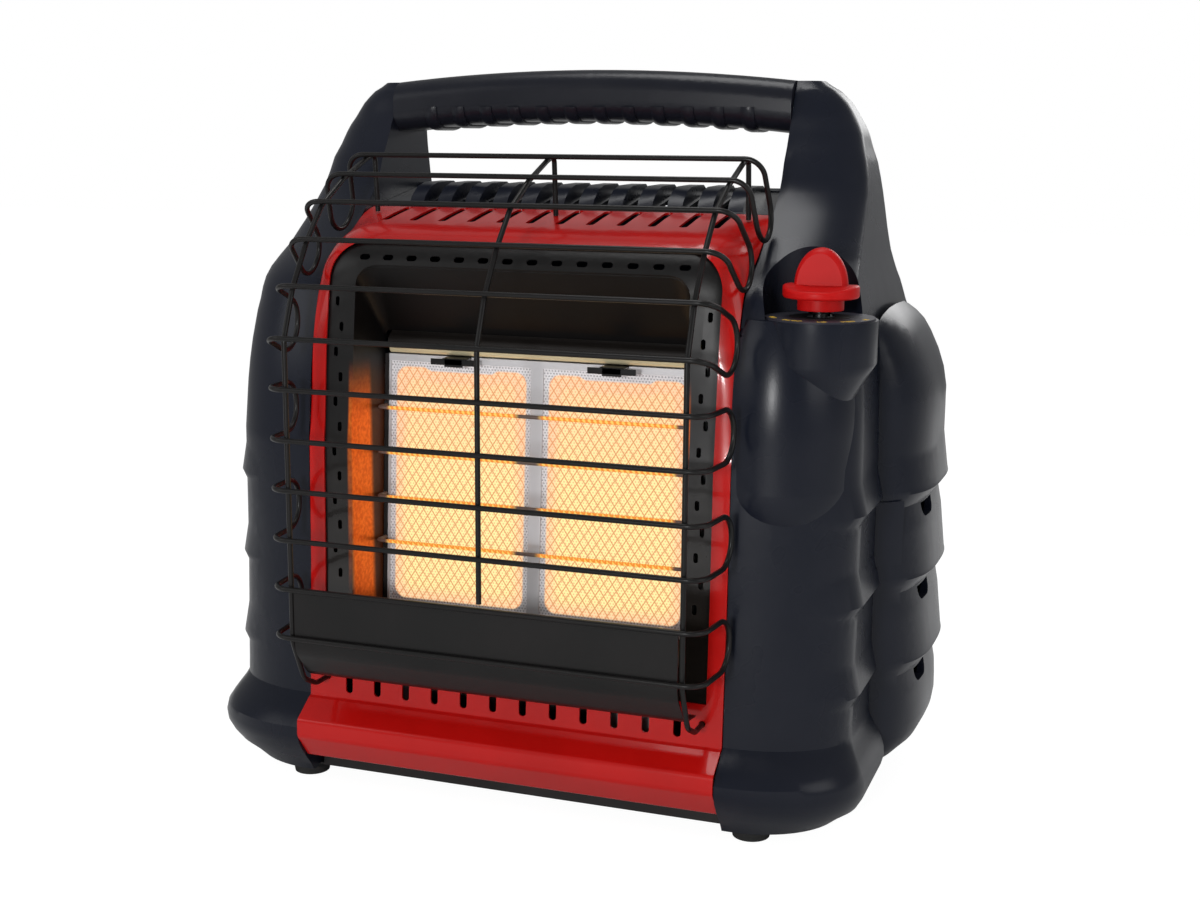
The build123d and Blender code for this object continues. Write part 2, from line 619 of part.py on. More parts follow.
def funnel(grow):
    """Solid that fills the firebox from the tiles to in front of its mouth."""
    half_x = BURNER_HALF_WIDTH + 0.3 + grow
    low = -BURNER_HALF_HEIGHT - 0.3 - grow
    high = THROAT_TOP + grow
    throat = RectangleRounded(2 * half_x, high - low, 4.0 + grow)
    back = tilted(Pos(0, -FRAME_LIP - 0.5, 0) * Rot(90, 0, 0) * Pos(0, (high + low) / 2, 0) * throat)
    mouth_x = MOUTH_HALF_WIDTH + grow
    mouth = RectangleRounded(2 * mouth_x, 280.0 + 2 * grow, 24.0 + grow)
    front = Pos(0, -112.0, 215.0) * (Rot(90, 0, 0) * mouth)
    return loft([back, front], ruled=True)


def firebox():
    """Black enamelled surround: flange behind the red window and four flaring walls."""
    inset = RED_SHEET + 0.5
    flange = skin(CENTRE_HALF_WIDTH - 2.0, inset, ENAMEL_SHEET)
    flange = flange & block((-124.0, 124.0), (-120.0, -60.0), (WINDOW_LOW - 5.0, 340.0))
    for x in spread(FLANGE_HOLE_COUNT, FLANGE_HOLE_PITCH):
        flange -= Pos(x, -82.0, 318.0) * Rot(62, 0, 0) * extrude(SlotOverall(6.5, 3.6), 10.0, both=True)
    for side in (-1, 1):
        for i in range(FLANGE_SLOT_COUNT):
            z = 132.0 + i * FLANGE_SLOT_PITCH
            face = Pos(side * (110.5 + (1.6 if i % 2 else -1.6)), z) * SlotOverall(5.6, 2.6, rotation=90)
            flange -= front_extrude(face, (-112.0, -70.0))
    walls = funnel(ENAMEL_SHEET) - funnel(0.0)
    walls -= side_extrude(polygon(firebox_front_cut()), (-130.0, 130.0))
    box = (flange - funnel(0.0)) + walls
    for x in (PILOT_X, THERMO_X, ELECTRODE_X):
        box -= post(x, PILOT_Y, (70.0, 104.0), 5.4 if x == PILOT_X else 3.2)
    return box


def firebox_front_cut():
    """(y, z) area in front of the flange's outer face, on the middle line."""
    line = inward(list(HOOD_MIDDLE) + list(PANEL_FRONT), RED_SHEET + 0.5)
    return [(y, z) for y, z in line] + [(-160.0, 40.0), (-160.0, 420.0), (0.0, 420.0)]


def burner_tile(side):
    """One ceramic tile with a shallow field inside its plain margin."""
    x0 = DIVIDER / 2
    tile = block((x0, x0 + TILE_WIDTH), (0.0, TILE_THICK), (-TILE_HEIGHT / 2, TILE_HEIGHT / 2))
    tile -= block((x0 + 5.5, x0 + TILE_WIDTH - 5.5), (-1.0, 0.5),
                  (-TILE_HEIGHT / 2 + 6.0, TILE_HEIGHT / 2 - 6.0))
    piece = tilted(tile)
    return piece if side > 0 else mirror_x(piece)


def tile_frame():
    """Pressed frame that holds both tiles, with a divider and a narrow front lip."""
    depth = TILE_THICK
    frame = block((-BURNER_HALF_WIDTH, BURNER_HALF_WIDTH), (-FRAME_LIP - 0.2, depth),
                  (-BURNER_HALF_HEIGHT, BURNER_HALF_HEIGHT))
    for side in (-1, 1):
        low = side * (DIVIDER / 2 - TILE_GAP)
        high = side * (DIVIDER / 2 + TILE_WIDTH + TILE_GAP)
        half = TILE_HEIGHT / 2 + TILE_GAP
        frame -= block(sorted((low, high)), (-0.2, depth + 1.0), (-half, half))
        lip = 1.6
        frame -= block(sorted((low + side * lip, high - side * lip)), (-3.0, depth),
                       (-half + lip, half - lip))
    return tilted(frame)


def tile_clips():
    """Two spring clips that hook over the frame at the top middle of each tile."""
    clips = []
    for side in (-1, 1):
        x = side * (DIVIDER / 2 + TILE_WIDTH / 2)
        front = (-FRAME_LIP - 0.9, -FRAME_LIP - 0.2)
        clip = block((x - 7.0, x + 7.0), front, (TILE_HEIGHT / 2 - 6.0, BURNER_HALF_HEIGHT + 0.7))
        clip -= block((x - 2.5, x + 2.5), (-4.0, 0.0), (TILE_HEIGHT / 2 - 7.0, TILE_HEIGHT / 2 - 2.5))
        clip += block((x - 7.0, x + 7.0), (front[0], 9.0), (BURNER_HALF_HEIGHT, BURNER_HALF_HEIGHT + 0.7))
        clips.append(tilted(clip))
    return clips


def radiant_rods():
    """Four thin rods in front of the tiles, their ends bent back to the frame."""
    rods = []
    reach = BURNER_HALF_WIDTH - 1.3
    for i in range(4):
        w = ROD_TOP - i * ROD_PITCH
        points = ((0, -ROD_STANDOFF, w), (reach, -ROD_STANDOFF, w), (reach, -FRAME_LIP - 0.2, w))
        half = bent_wire(points, [4.0], ROD_RADIUS)
        rods.append(tilted(half + mirror_x(half)))
    return rods


def reflector():
    """Polished strip that closes the throat above the tiles."""
    half = BURNER_HALF_WIDTH - 4.0
    base = BURNER_HALF_HEIGHT + 1.6
    line = ((8.0, base), (-2.0, base), (-6.0, THROAT_TOP - 5.0), (1.0, THROAT_TOP - 0.4))
    return tilted(side_extrude(strip(line, 0.8, [2.5, 3.0], Side.LEFT), (-half, half)))


def burner_body():
    """Plenum box behind the tiles with an inlet in its floor."""
    front = TILE_THICK
    box = block((-BURNER_HALF_WIDTH, BURNER_HALF_WIDTH), (front, front + PLENUM_DEPTH),
                (-BURNER_HALF_HEIGHT, BURNER_HALF_HEIGHT))
    box = fillet(box.edges().group_by(Axis.Y)[-1], 5.0)
    inner = block((-BURNER_HALF_WIDTH + PLENUM_SHEET, BURNER_HALF_WIDTH - PLENUM_SHEET),
                  (front - 1.0, front + PLENUM_DEPTH - PLENUM_SHEET),
                  (-BURNER_HALF_HEIGHT + PLENUM_SHEET, BURNER_HALF_HEIGHT - PLENUM_SHEET))
    inner = fillet(inner.edges().group_by(Axis.Y)[-1], 5.0 - PLENUM_SHEET)
    box = tilted(box - inner)
    return box - post(VENTURI_X, VENTURI_Y, (90.0, 112.0), VENTURI_R)


def venturi_tube():
    """Mixing tube: bell mouth, throat and an elbow up into the plenum."""
    path = FilletPolyline((VENTURI_MOUTH_X - 16.0, VENTURI_Y, VENTURI_Z), (VENTURI_X, VENTURI_Y, VENTURI_Z),
                          (VENTURI_X, VENTURI_Y, 106.0), radius=15.0)
    outer = sweep(Plane(origin=path @ 0, z_dir=path % 0) * Circle(VENTURI_R - 0.3), path=path)
    bore = sweep(Plane(origin=path @ 0, z_dir=path % 0) * Circle(VENTURI_R - 1.3), path=path)
    bell = Pos(VENTURI_MOUTH_X - 8.0, VENTURI_Y, VENTURI_Z) * Rot(0, 90, 0)
    mouth = bell * Cone(VENTURI_R - 0.3, VENTURI_R + 4.0, 16.0)
    flare = bell * Cone(VENTURI_R - 1.3, VENTURI_R + 3.0, 16.0)
    return (outer + mouth) - bore - flare


def gas_jet():
    """Brass jet on a bracket that stands on the base pan in line with the venturi."""
    x = VENTURI_MOUTH_X + 6.0
    jet = cross_rod((x, x + 14.0), VENTURI_Y, VENTURI_Z, 5.0)
    jet += cross_rod((x - 8.0, x), VENTURI_Y, VENTURI_Z, 2.2)
    leg = block((x + 3.0, x + 5.0), (VENTURI_Y - 9.0, VENTURI_Y + 9.0), (PAN_TOP, VENTURI_Z + 9.0))
    foot = block((x + 3.0, x + 16.0), (VENTURI_Y - 9.0, VENTURI_Y + 9.0), (PAN_TOP, PAN_TOP + 1.5))
    return jet + leg + foot


def heat_shield():
    """Bent sheet behind the burner, standing on the base pan."""
    line = ((12.0, PAN_TOP), (-6.0, PAN_TOP), (-6.0, 238.0), (4.0, 244.0))
    sheet = side_extrude(strip(line, 1.0, 2.0), (-CENTRE_HALF_WIDTH + 0.5, CENTRE_HALF_WIDTH - 0.5))
    for x in spread(6, 30.0):
        slot = Pos(x, 60.0) * SlotOverall(36.0, 5.0, rotation=90)
        sheet -= front_extrude(slot, (-10.0, 0.0))
    return sheet


def pilot_bracket():
    """Small shelf under the firebox floor for the pilot, probe and electrode."""
    shelf = block((50.0, 94.0), (PAN_FRONT_Y + PAN_SHEET + 0.2, -59.0),
                  (PILOT_SHELF_Z, PILOT_SHELF_Z + 1.2))
    upstand = block((50.0, 94.0), (-60.2, -59.0), (PILOT_SHELF_Z, 100.0))
    front = PAN_FRONT_Y + PAN_SHEET + 0.2
    leg = block((50.0, 94.0), (front, front + 1.2), (PAN_TOP, PILOT_SHELF_Z + 1.2))
    foot = block((50.0, 94.0), (front, front + 10.0), (PAN_TOP, PAN_TOP + 1.2))
    bracket = shelf + upstand + leg + foot
    for x, radius in ((PILOT_X, 3.6), (THERMO_X, 1.7), (ELECTRODE_X, 2.3)):
        bracket -= post(x, PILOT_Y, (PILOT_SHELF_Z - 2.0, PILOT_SHELF_Z + 4.0), radius)
    return bracket


def pilot_burner():
    """Oxygen-sensing pilot: hex base, tube and hooded tip."""
    tip = post(PILOT_X, PILOT_Y, (PILOT_SHELF_Z - 6.0, 106.0), 3.5)
    tip += post(PILOT_X, PILOT_Y, (PILOT_SHELF_Z + 1.2, PILOT_SHELF_Z + 6.0), 5.0)
    tip += post(PILOT_X, PILOT_Y, (98.0, 108.0), 5.0)
    tip -= block((PILOT_X - 7.0, PILOT_X + 7.0), (PILOT_Y - 1.6, PILOT_Y + 7.0), (101.0, 106.0))
    return tip


def thermocouple():
    """Flame probe beside the pilot."""
    probe = post(THERMO_X, PILOT_Y, (PILOT_SHELF_Z - 8.0, 114.0), 1.6)
    return probe + post(THERMO_X, PILOT_Y, (PILOT_SHELF_Z + 1.2, PILOT_SHELF_Z + 4.0), 3.0)


def igniter_electrode():
    """Ceramic sleeve with a spark wire bent towards the pilot."""
    sleeve = post(ELECTRODE_X, PILOT_Y, (PILOT_SHELF_Z - 8.0, 104.0), 2.2)
    sleeve += post(ELECTRODE_X, PILOT_Y, (PILOT_SHELF_Z + 1.2, PILOT_SHELF_Z + 5.0), 3.0)
    points = ((ELECTRODE_X, PILOT_Y, 103.0), (ELECTRODE_X, PILOT_Y, 112.0),
              (ELECTRODE_X + 6.0, PILOT_Y, 112.0))
    return sleeve + bent_wire(points, [3.0], 0.8)


# ---------------------------------------------------------------- guard
def guard_points():
    """(y, z) of the twelve horizontal wires, top to bottom."""
    lower = [(-GUARD_FRONT, GUARD_LOW_Z + GUARD_PITCH * i) for i in range(6, -1, -1)]
    return list(GUARD_UPPER) + lower


def guard_rings():
    """Six closed rings, each a pair of bars joined by loops that bend back at both ends."""
    rings = []
    points = guard_points()
    for (y0, z0), (y1, z1) in zip(points[0::2], points[1::2]):
        gap = hypot(y1 - y0, z1 - z0)
        back = (LOOP_DEPTH * (z0 - z1) / gap, LOOP_DEPTH * (y1 - y0) / gap)
        path = ((0, y0, z0), (WIRE_HALF_WIDTH, y0, z0), (LOOP_HALF_WIDTH, y0 + back[0], z0 + back[1]),
                (LOOP_HALF_WIDTH, y1 + back[0], z1 + back[1]), (WIRE_HALF_WIDTH, y1, z1), (0, y1, z1))
        turn = gap / 2 - 0.4
        half = bent_wire(path, [WIRE_BEND, turn, turn, WIRE_BEND], WIRE_R)
        rings.append(half + mirror_x(half))
    return rings


def guard_uprights():
    """Three upright wires behind the rings, with a leg down to the hood and hooks into the panel."""
    line = inward(guard_points(), 2 * WIRE_R - 0.1)
    wires = []
    for x in (-UPRIGHT_X, 0.0, UPRIGHT_X):
        top = line[0]
        path = [(x, -25.0, hood_height(-25.0) + 0.2), (x, -28.0, top[1] + 3.5)]
        path += [(x, y, z) for y, z in line[:6]]
        if x:
            path += [(x, line[-1][0], GUARD_LOW_Z - 3.0), (x, -128.0, 76.0), (x, -114.0, 69.0),
                     (x, -97.0, 69.0)]
        else:
            path.append((x, line[-1][0], GUARD_LOW_Z + GUARD_PITCH + WIRE_R + 1.5))
        bends = [4.0, 5.0] + [12.0] * (len(path) - 4)
        wires.append(bent_wire(path, bends, WIRE_R))
    return wires


def hood_height(y):
    """Height of the hood's outer face on the middle line."""
    for (y0, z0), (y1, z1) in zip(HOOD_MIDDLE, HOOD_MIDDLE[1:]):
        if y1 <= y <= y0:
            return z0 + (z1 - z0) * (y - y0) / (y1 - y0)
    return HOOD_MIDDLE[0][1]


def guard_plate():
    """Sheet welded behind the two lowest bars and curled back under them."""
    front = -GUARD_FRONT + WIRE_R
    half = UPRIGHT_X - WIRE_R - 0.6
    line = ((front, GUARD_LOW_Z + GUARD_PITCH + 1.0), (front, GUARD_LOW_Z - 8.0), (-126.0, 78.0),
            (-106.0, 75.0))
    return side_extrude(strip(line, GUARD_PLATE_SHEET, [14.0, 14.0], Side.LEFT), (-half, half))


# ---------------------------------------------------------------- knob and valve
def dial_plate():
    """Thin round plate under the knob."""
    disc = post(KNOB_X, KNOB_Y, (SHELF_Z, SHELF_Z + DIAL_THICK), TURRET_R - 1.5)
    return disc - post(KNOB_X, KNOB_Y, (SHELF_Z - 1, SHELF_Z + 2), BONNET_R + 0.3)


def control_knob():
    """Push-and-turn knob: neck, wavy flange and domed finger bar."""
    neck = post(0, 0, (KNOB_LOW, KNOB_FLANGE_LOW), KNOB_NECK_R)
    flange = post(0, 0, (KNOB_FLANGE_LOW, KNOB_FLANGE_HIGH), KNOB_FLANGE_R - 1.4)
    for i in range(10):
        angle = radians(36 * i)
        reach = KNOB_FLANGE_R - 5.0
        flange += post(reach * cos(angle), reach * sin(angle), (KNOB_FLANGE_LOW, KNOB_FLANGE_HIGH), 5.0)
    skirt = Pos(0, 0, KNOB_FLANGE_HIGH - 26.0) * Sphere(33.5)
    flange = flange & skirt
    flange = flange & (Pos(0, 0, KNOB_FLANGE_LOW + 27.5) * Sphere(33.5))
    bar = block((-GRIP_BAR_LENGTH / 2, GRIP_BAR_LENGTH / 2), (-GRIP_BAR_WIDTH / 2, GRIP_BAR_WIDTH / 2),
                (KNOB_FLANGE_HIGH - 6.0, KNOB_TOP))
    dome = Pos(0, 0, KNOB_TOP - 22.0) * Sphere(22.0)
    knob = neck + flange + (bar & dome)
    knob -= post(0, 0, (KNOB_LOW - 1.0, POCKET_HIGH), COLLAR_R + 0.3)
    knob -= post(0, 0, (KNOB_LOW - 1.0, POCKET_HIGH + 9.0), STEM_R + 0.02)
    return Pos(KNOB_X, KNOB_Y, 0) * knob


def push_collar():
    """Sleeve around the stem that the knob pushes down against its spring."""
    z = (POCKET_HIGH - 4.3, POCKET_HIGH - 0.3)
    return post(KNOB_X, KNOB_Y, z, COLLAR_R) - post(KNOB_X, KNOB_Y, (z[0] - 1, z[1] + 1), STEM_R + RUNNING)


def knob_spring():
    """Return spring between the valve's bonnet and the push collar."""
    low = SHELF_Z + DIAL_THICK + 0.4
    high = POCKET_HIGH - 4.6
    turns = 4
    radius = 5.8
    path = Helix(pitch=(high - low - 1.2) / turns, height=high - low - 1.2, radius=radius)
    coil = sweep(Plane(origin=path @ 0, z_dir=path % 0) * Circle(0.6), path=path, is_frenet=True)
    return Pos(KNOB_X, KNOB_Y, low + 0.6) * coil


def valve_stem():
    """Turning stem from the valve up into the knob."""
    return post(KNOB_X, KNOB_Y, (SHELF_Z - 16.0, POCKET_HIGH + 8.8), STEM_R)


def gas_valve():
    """Cast control valve hung under the knob shelf, with a bonnet through it."""
    shelf_low = SHELF_Z - HOUSING_WALL
    body = post(KNOB_X, KNOB_Y, (262.0, shelf_low), 13.0)
    body += block((KNOB_X - 18.0, KNOB_X + 9.0), (KNOB_Y - 8.0, KNOB_Y + 18.0), (240.0, 263.0))
    body += post(KNOB_X, KNOB_Y, (shelf_low, SHELF_Z + DIAL_THICK - 0.2), BONNET_R)
    body += depth_rod(VALVE_INLET_X, (KNOB_Y + 17.0, VALVE_INLET_Y), VALVE_INLET_Z, 6.0)
    body += post(VALVE_OUTLET_X, VALVE_OUTLET_Y, (234.0, 241.0), 5.5)
    body += post(VALVE_PILOT_X, VALVE_PILOT_Y, (235.0, 241.0), 3.6)
    bore = (SHELF_Z - 16.0 - PUSH_TRAVEL - 1.0, SHELF_Z + 4.0)
    return body - post(KNOB_X, KNOB_Y, bore, STEM_R + RUNNING)


def piezo_igniter():
    """Spark generator strapped beside the valve."""
    x = KNOB_X - 18.0 - 7.2
    body = post(x, KNOB_Y + 4.0, (236.0, 268.0), 6.5) + post(x, KNOB_Y + 4.0, (268.0, 276.0), 4.0)
    strap = block((x - 7.5, KNOB_X - 18.2), (KNOB_Y - 4.0, KNOB_Y + 12.0), (248.0, 254.0))
    return body + strap


# ---------------------------------------------------------------- fuel lines and regulators


def swivel_fitting():
    """Bulkhead elbow through the inner wall with a spigot that carries the regulator."""
    body = cross_rod((FITTING_INNER_X, SWIVEL_X), SWIVEL_Y, SWIVEL_Z, FITTING_R)
    body += cross_rod((FITTING_INNER_X + 6.0, CENTRE_HALF_WIDTH - 0.2), SWIVEL_Y, SWIVEL_Z, 11.0)
    body += cross_rod((CENTRE_HALF_WIDTH + HOUSING_WALL + 0.1, CENTRE_HALF_WIDTH + 7.0), SWIVEL_Y, SWIVEL_Z,
                      11.0)
    body += Pos(SWIVEL_X, SWIVEL_Y, SWIVEL_Z) * Sphere(FITTING_R + 0.6)
    body += post(SWIVEL_X, SWIVEL_Y, (HUB_HIGH + FIT_GAP, SWIVEL_Z), FITTING_R)
    body += post(SWIVEL_X, SWIVEL_Y, (HUB_LOW - 3.0, SWIVEL_Z), SPIGOT_R)
    body += post(SWIVEL_X, SWIVEL_Y, (HUB_LOW - 3.5, HUB_LOW - FIT_GAP), SPIGOT_R + 2.0)
    return body


def regulator():
    """Swivel-out regulator: hub on the spigot, short arm, dome and threaded cylinder socket."""
    y = SWIVEL_Y - REGULATOR_ARM
    x = SWIVEL_X
    dome = Pos(x, y, HUB_HIGH + 6.0) * Sphere(REGULATOR_R + 3.0)
    rim = post(x, y, (HUB_LOW - 2.0, HUB_HIGH), REGULATOR_R)
    body = post(x, y, (HUB_LOW - 2.0, HUB_HIGH + 12.0), REGULATOR_R) & (dome + rim)
    socket = post(x, y, (HUB_LOW - 2.0 - SOCKET_DEPTH, HUB_LOW - 2.0), REGULATOR_R - 1.5)
    for i in range(12):
        angle = radians(30 * i)
        reach = REGULATOR_R - 1.6
        place = Pos(x + reach * cos(angle), y + reach * sin(angle), HUB_LOW - 2.0 - SOCKET_DEPTH / 2)
        socket += place * Cylinder(1.6, SOCKET_DEPTH)
    arm = depth_rod(x, (y, SWIVEL_Y - SPIGOT_R - 2.0), (HUB_LOW + HUB_HIGH) / 2, 6.0)
    hub = post(x, SWIVEL_Y, (HUB_LOW, HUB_HIGH), HUB_R)
    whole = body + socket + arm + hub
    whole -= post(x, SWIVEL_Y, (HUB_LOW - 1.0, HUB_HIGH + 1.0), SPIGOT_R + RUNNING)
    mouth = HUB_LOW - 2.0 - SOCKET_DEPTH
    whole -= post(x, y, (mouth - 1.0, mouth + SOCKET_DEPTH), SOCKET_R)
    return whole - post(x, y, (mouth, mouth + SOCKET_DEPTH + 6.0), 2.5)


def manifold_tee():
    """Brass tee that joins both fuel pipes."""
    tee = block((MANIFOLD_X - 8.0, MANIFOLD_X + 8.0), (MANIFOLD_Y - 8.0, MANIFOLD_Y + 8.0),
                (SWIVEL_Z - 8.0, SWIVEL_Z + 8.0))
    return chamfer(tee.edges(), 1.5)


def right_fuel_pipe():
    """Pipe from the right swivel fitting to the tee."""
    points = ((FITTING_INNER_X, SWIVEL_Y, SWIVEL_Z), (MANIFOLD_X, SWIVEL_Y, SWIVEL_Z),
              (MANIFOLD_X, MANIFOLD_Y + 8.0, SWIVEL_Z))
    return bent_wire(points, [11.0], PIPE_R)


def left_fuel_pipe():
    """Pipe from the left swivel fitting across the back to the tee."""
    points = ((-FITTING_INNER_X, SWIVEL_Y, SWIVEL_Z), (-MANIFOLD_X, SWIVEL_Y, SWIVEL_Z),
              (-MANIFOLD_X, MANIFOLD_Y, SWIVEL_Z),
              (MANIFOLD_X - 8.0, MANIFOLD_Y, SWIVEL_Z))
    return bent_wire(points, [11.0, 12.0], PIPE_R)


def feed_pipe():
    """Pipe from the tee forward into the valve's inlet."""
    points = ((MANIFOLD_X, MANIFOLD_Y - 8.0, SWIVEL_Z), (MANIFOLD_X, -22.0, SWIVEL_Z),
              (MANIFOLD_X + 20.0, -22.0, VALVE_INLET_Z),
              (VALVE_INLET_X, -20.0, VALVE_INLET_Z), (VALVE_INLET_X, VALVE_INLET_Y, VALVE_INLET_Z))
    return bent_wire(points, [10.0, 9.0, 8.0], PIPE_R)


def burner_pipe():
    """Pipe from the valve's outlet down to the jet."""
    points = ((VALVE_OUTLET_X, VALVE_OUTLET_Y, 234.0), (VALVE_OUTLET_X, VALVE_OUTLET_Y, 120.0),
              (VALVE_OUTLET_X, VENTURI_Y, 106.0),
              (VALVE_OUTLET_X, VENTURI_Y, VENTURI_Z), (VENTURI_MOUTH_X + 20.0, VENTURI_Y, VENTURI_Z))
    return bent_wire(points, [10.0, 9.0, 12.0], PIPE_R)


def pilot_tube():
    """Thin pipe from the valve to the pilot burner."""
    low = 62.0
    points = ((VALVE_PILOT_X, VALVE_PILOT_Y, 235.0), (VALVE_PILOT_X, VALVE_PILOT_Y, low),
              (PILOT_X, VALVE_PILOT_Y, low),
              (PILOT_X, PILOT_Y, low), (PILOT_X, PILOT_Y, PILOT_SHELF_Z - 6.0))
    return bent_wire(points, [9.0, 9.0, 7.0], PILOT_R)


def tip_switch():
    """Tip-over switch standing on the pan inside the right housing."""
    z = (PAN_TOP, PAN_TOP + 24.0)
    body = block((146.0, 168.0), (-60.0, -42.0), z)
    body += block((142.0, 172.0), (-57.0, -45.0), (PAN_TOP, PAN_TOP + 2.0))
    return body + post(157.0, -51.0, (z[1], z[1] + 5.0), 5.0)


# ---------------------------------------------------------------- base, rear and fan
def base_pan():
    """Bottom sheet, cut to the housings' footprint, with a flange behind the bumper."""
    top = PAN_TOP
    pan = block((-PAN_HALF_WIDTH, PAN_HALF_WIDTH), (PAN_FRONT_Y, PAN_REAR_Y), (FOOT_HEIGHT, top))
    side_plate = extrude(housing_section(BASE_ROWS[0], HOUSING_WALL + FIT_GAP), PAN_SHEET)
    pan += side_plate + mirror_x(side_plate)
    pan += block((-CENTRE_HALF_WIDTH + 2, CENTRE_HALF_WIDTH - 2), (PAN_FRONT_Y, PAN_FRONT_Y + PAN_SHEET),
                 (FOOT_HEIGHT, top + 12.0))
    pan += block((-CENTRE_HALF_WIDTH + 2, CENTRE_HALF_WIDTH - 2), (PAN_REAR_Y, REAR_Y - REAR_WALL - 3.0),
                 (FOOT_HEIGHT, top))
    for side in (-1, 1):
        for boss_y in BOSS_PLACES:
            pan -= post(side * (CENTRE_HALF_WIDTH + 7.5), boss_y, (0.0, 20.0), SCREW_R + 0.2)
    for x in spread(5, 34.0):
        pan -= extrude(Pos(x, 20.0, 0) * SlotOverall(60.0, 6.0, rotation=90), 20.0)
    return pan


def feet():
    """Four rubber feet."""
    pads = []
    for x in (-FOOT_X, FOOT_X):
        for y in (FOOT_FRONT_Y, FOOT_REAR_Y):
            pad = Pos(x, y, FOOT_HEIGHT / 2) * Cone(FOOT_RADIUS - 1.5, FOOT_RADIUS, FOOT_HEIGHT)
            pads.append(pad)
    return pads


def base_screws():
    """Screws up through the pan into the housings."""
    screws = []
    for boss_y in BOSS_PLACES:
        x = CENTRE_HALF_WIDTH + 7.5
        screw = post(x, boss_y, (FOOT_HEIGHT, 21.0), SCREW_R - 0.02) + post(x, boss_y,
                                                                            (FOOT_HEIGHT - 2.4,
                                                                             FOOT_HEIGHT), SCREW_HEAD_R)
        screws += [screw, mirror_x(screw)]
    return screws


def rear_cover():
    """Louvred rear cover with the battery door's opening and the switch and jack seats."""
    half = CENTRE_HALF_WIDTH - FIT_GAP
    cover = side_extrude(strip(REAR_LINE, REAR_WALL, [6.0, 8.0, 10.0, 12.0, 3.0]), (-half, half))
    inner = REAR_Y - REAR_WALL
    frame = block((-BATTERY_HALF_WIDTH - 7, BATTERY_HALF_WIDTH + 7), (inner, REAR_Y + REAR_WALL),
                  (BATTERY_LOW - 8.0, BATTERY_HIGH + 7))
    cover += chamfer(frame.edges().group_by(Axis.Y)[-1], 1.6)
    opening = (-BATTERY_HALF_WIDTH - SEAM, BATTERY_HALF_WIDTH + SEAM)
    for side in (-1, 1):
        ear = block(sorted((side * (BATTERY_HALF_WIDTH + SEAM), side * (BATTERY_HALF_WIDTH + 6))),
                    (inner - 4.0, REAR_Y),
                    (BATTERY_LOW - 4.0, BATTERY_LOW + 5.0))
        cover += ear
    cover -= block(opening, (inner - 6.0, REAR_Y + 6.0),
                   (BATTERY_LOW - BATTERY_FOLD_ROOM, BATTERY_HIGH + SEAM))
    cover -= cross_rod((-BATTERY_HALF_WIDTH - 5.0, BATTERY_HALF_WIDTH + 5.0), inner + 0.2, BATTERY_LOW,
                       BATTERY_PIN_R + 0.02)
    for i in range(7):
        z = FAN_Z - 33.0 + i * 11.0
        reach = sqrt(max(FAN_RING_R ** 2 - (z - FAN_Z) ** 2, 0.0))
        cover -= front_extrude(Pos(0, z) * SlotOverall(2 * reach, 4.6), (inner - 4.0, REAR_Y + 3.0))
    for side in (-1, 1):
        for i in range(5):
            face = Pos(side * 88.0, 150.0 + 14.0 * i) * SlotOverall(46.0, 5.0)
            cover -= front_extrude(face, (inner - 4.0, REAR_Y + 3.0))
    for x in spread(8, 26.0):
        vent = Pos(x, 68.0 + 6.0, 318.0) * Rot(0, 0, 90) * SlotOverall(30.0, 6.0)
        cover -= extrude(vent, 40.0)
    cover -= block((SWITCH_X - 7.2, SWITCH_X + 7.2), (inner - 3.0, REAR_Y + 3.0),
                   (SWITCH_Z - 10.2, SWITCH_Z + 10.2))
    cover -= depth_rod(SWITCH_X, (inner - 3.0, REAR_Y + 3.0), JACK_Z, 6.2)
    return cover


def switch_body():
    """Fan switch case with an open bezel for the paddle."""
    case = block((SWITCH_X - 7.0, SWITCH_X + 7.0), (REAR_Y - 18.0, REAR_Y + 0.2),
                 (SWITCH_Z - 10.0, SWITCH_Z + 10.0))
    case += block((SWITCH_X - 9.0, SWITCH_X + 9.0), (REAR_Y + 0.1, REAR_Y + 1.4),
                  (SWITCH_Z - 12.0, SWITCH_Z + 12.0))
    case -= block((SWITCH_X - 5.2, SWITCH_X + 5.2), (REAR_Y - 9.0, REAR_Y + 3.0),
                  (SWITCH_Z - 8.6, SWITCH_Z + 8.6))
    return case - cross_rod((SWITCH_X - 6.2, SWITCH_X + 6.2), REAR_Y - 2.0, SWITCH_Z, 1.25)


def fan_switch():
    """Rocking paddle of the fan switch, tipped to one side."""
    profile = polygon(((-3.2, -7.6), (3.4, -7.4), (2.2, 0.0), (3.4, 7.4), (-3.2, 7.6)))
    paddle = side_extrude(profile, (-4.9, 4.9)) + cross_rod((-6.0, 6.0), 0, 0, 1.2)
    return Pos(SWITCH_X, REAR_Y - 2.0, SWITCH_Z) * paddle


def adapter_jack():
    """Round power jack with a centre pin."""
    jack = depth_rod(SWITCH_X, (REAR_Y - 14.0, REAR_Y + 0.1), JACK_Z, 6.0)
    jack += depth_rod(SWITCH_X, (REAR_Y + 0.1, REAR_Y + 1.4), JACK_Z, 8.0)
    jack -= depth_rod(SWITCH_X, (REAR_Y - 9.0, REAR_Y + 3.0), JACK_Z, 3.2)
    return jack + depth_rod(SWITCH_X, (REAR_Y - 9.5, REAR_Y - 1.0), JACK_Z, 1.0)


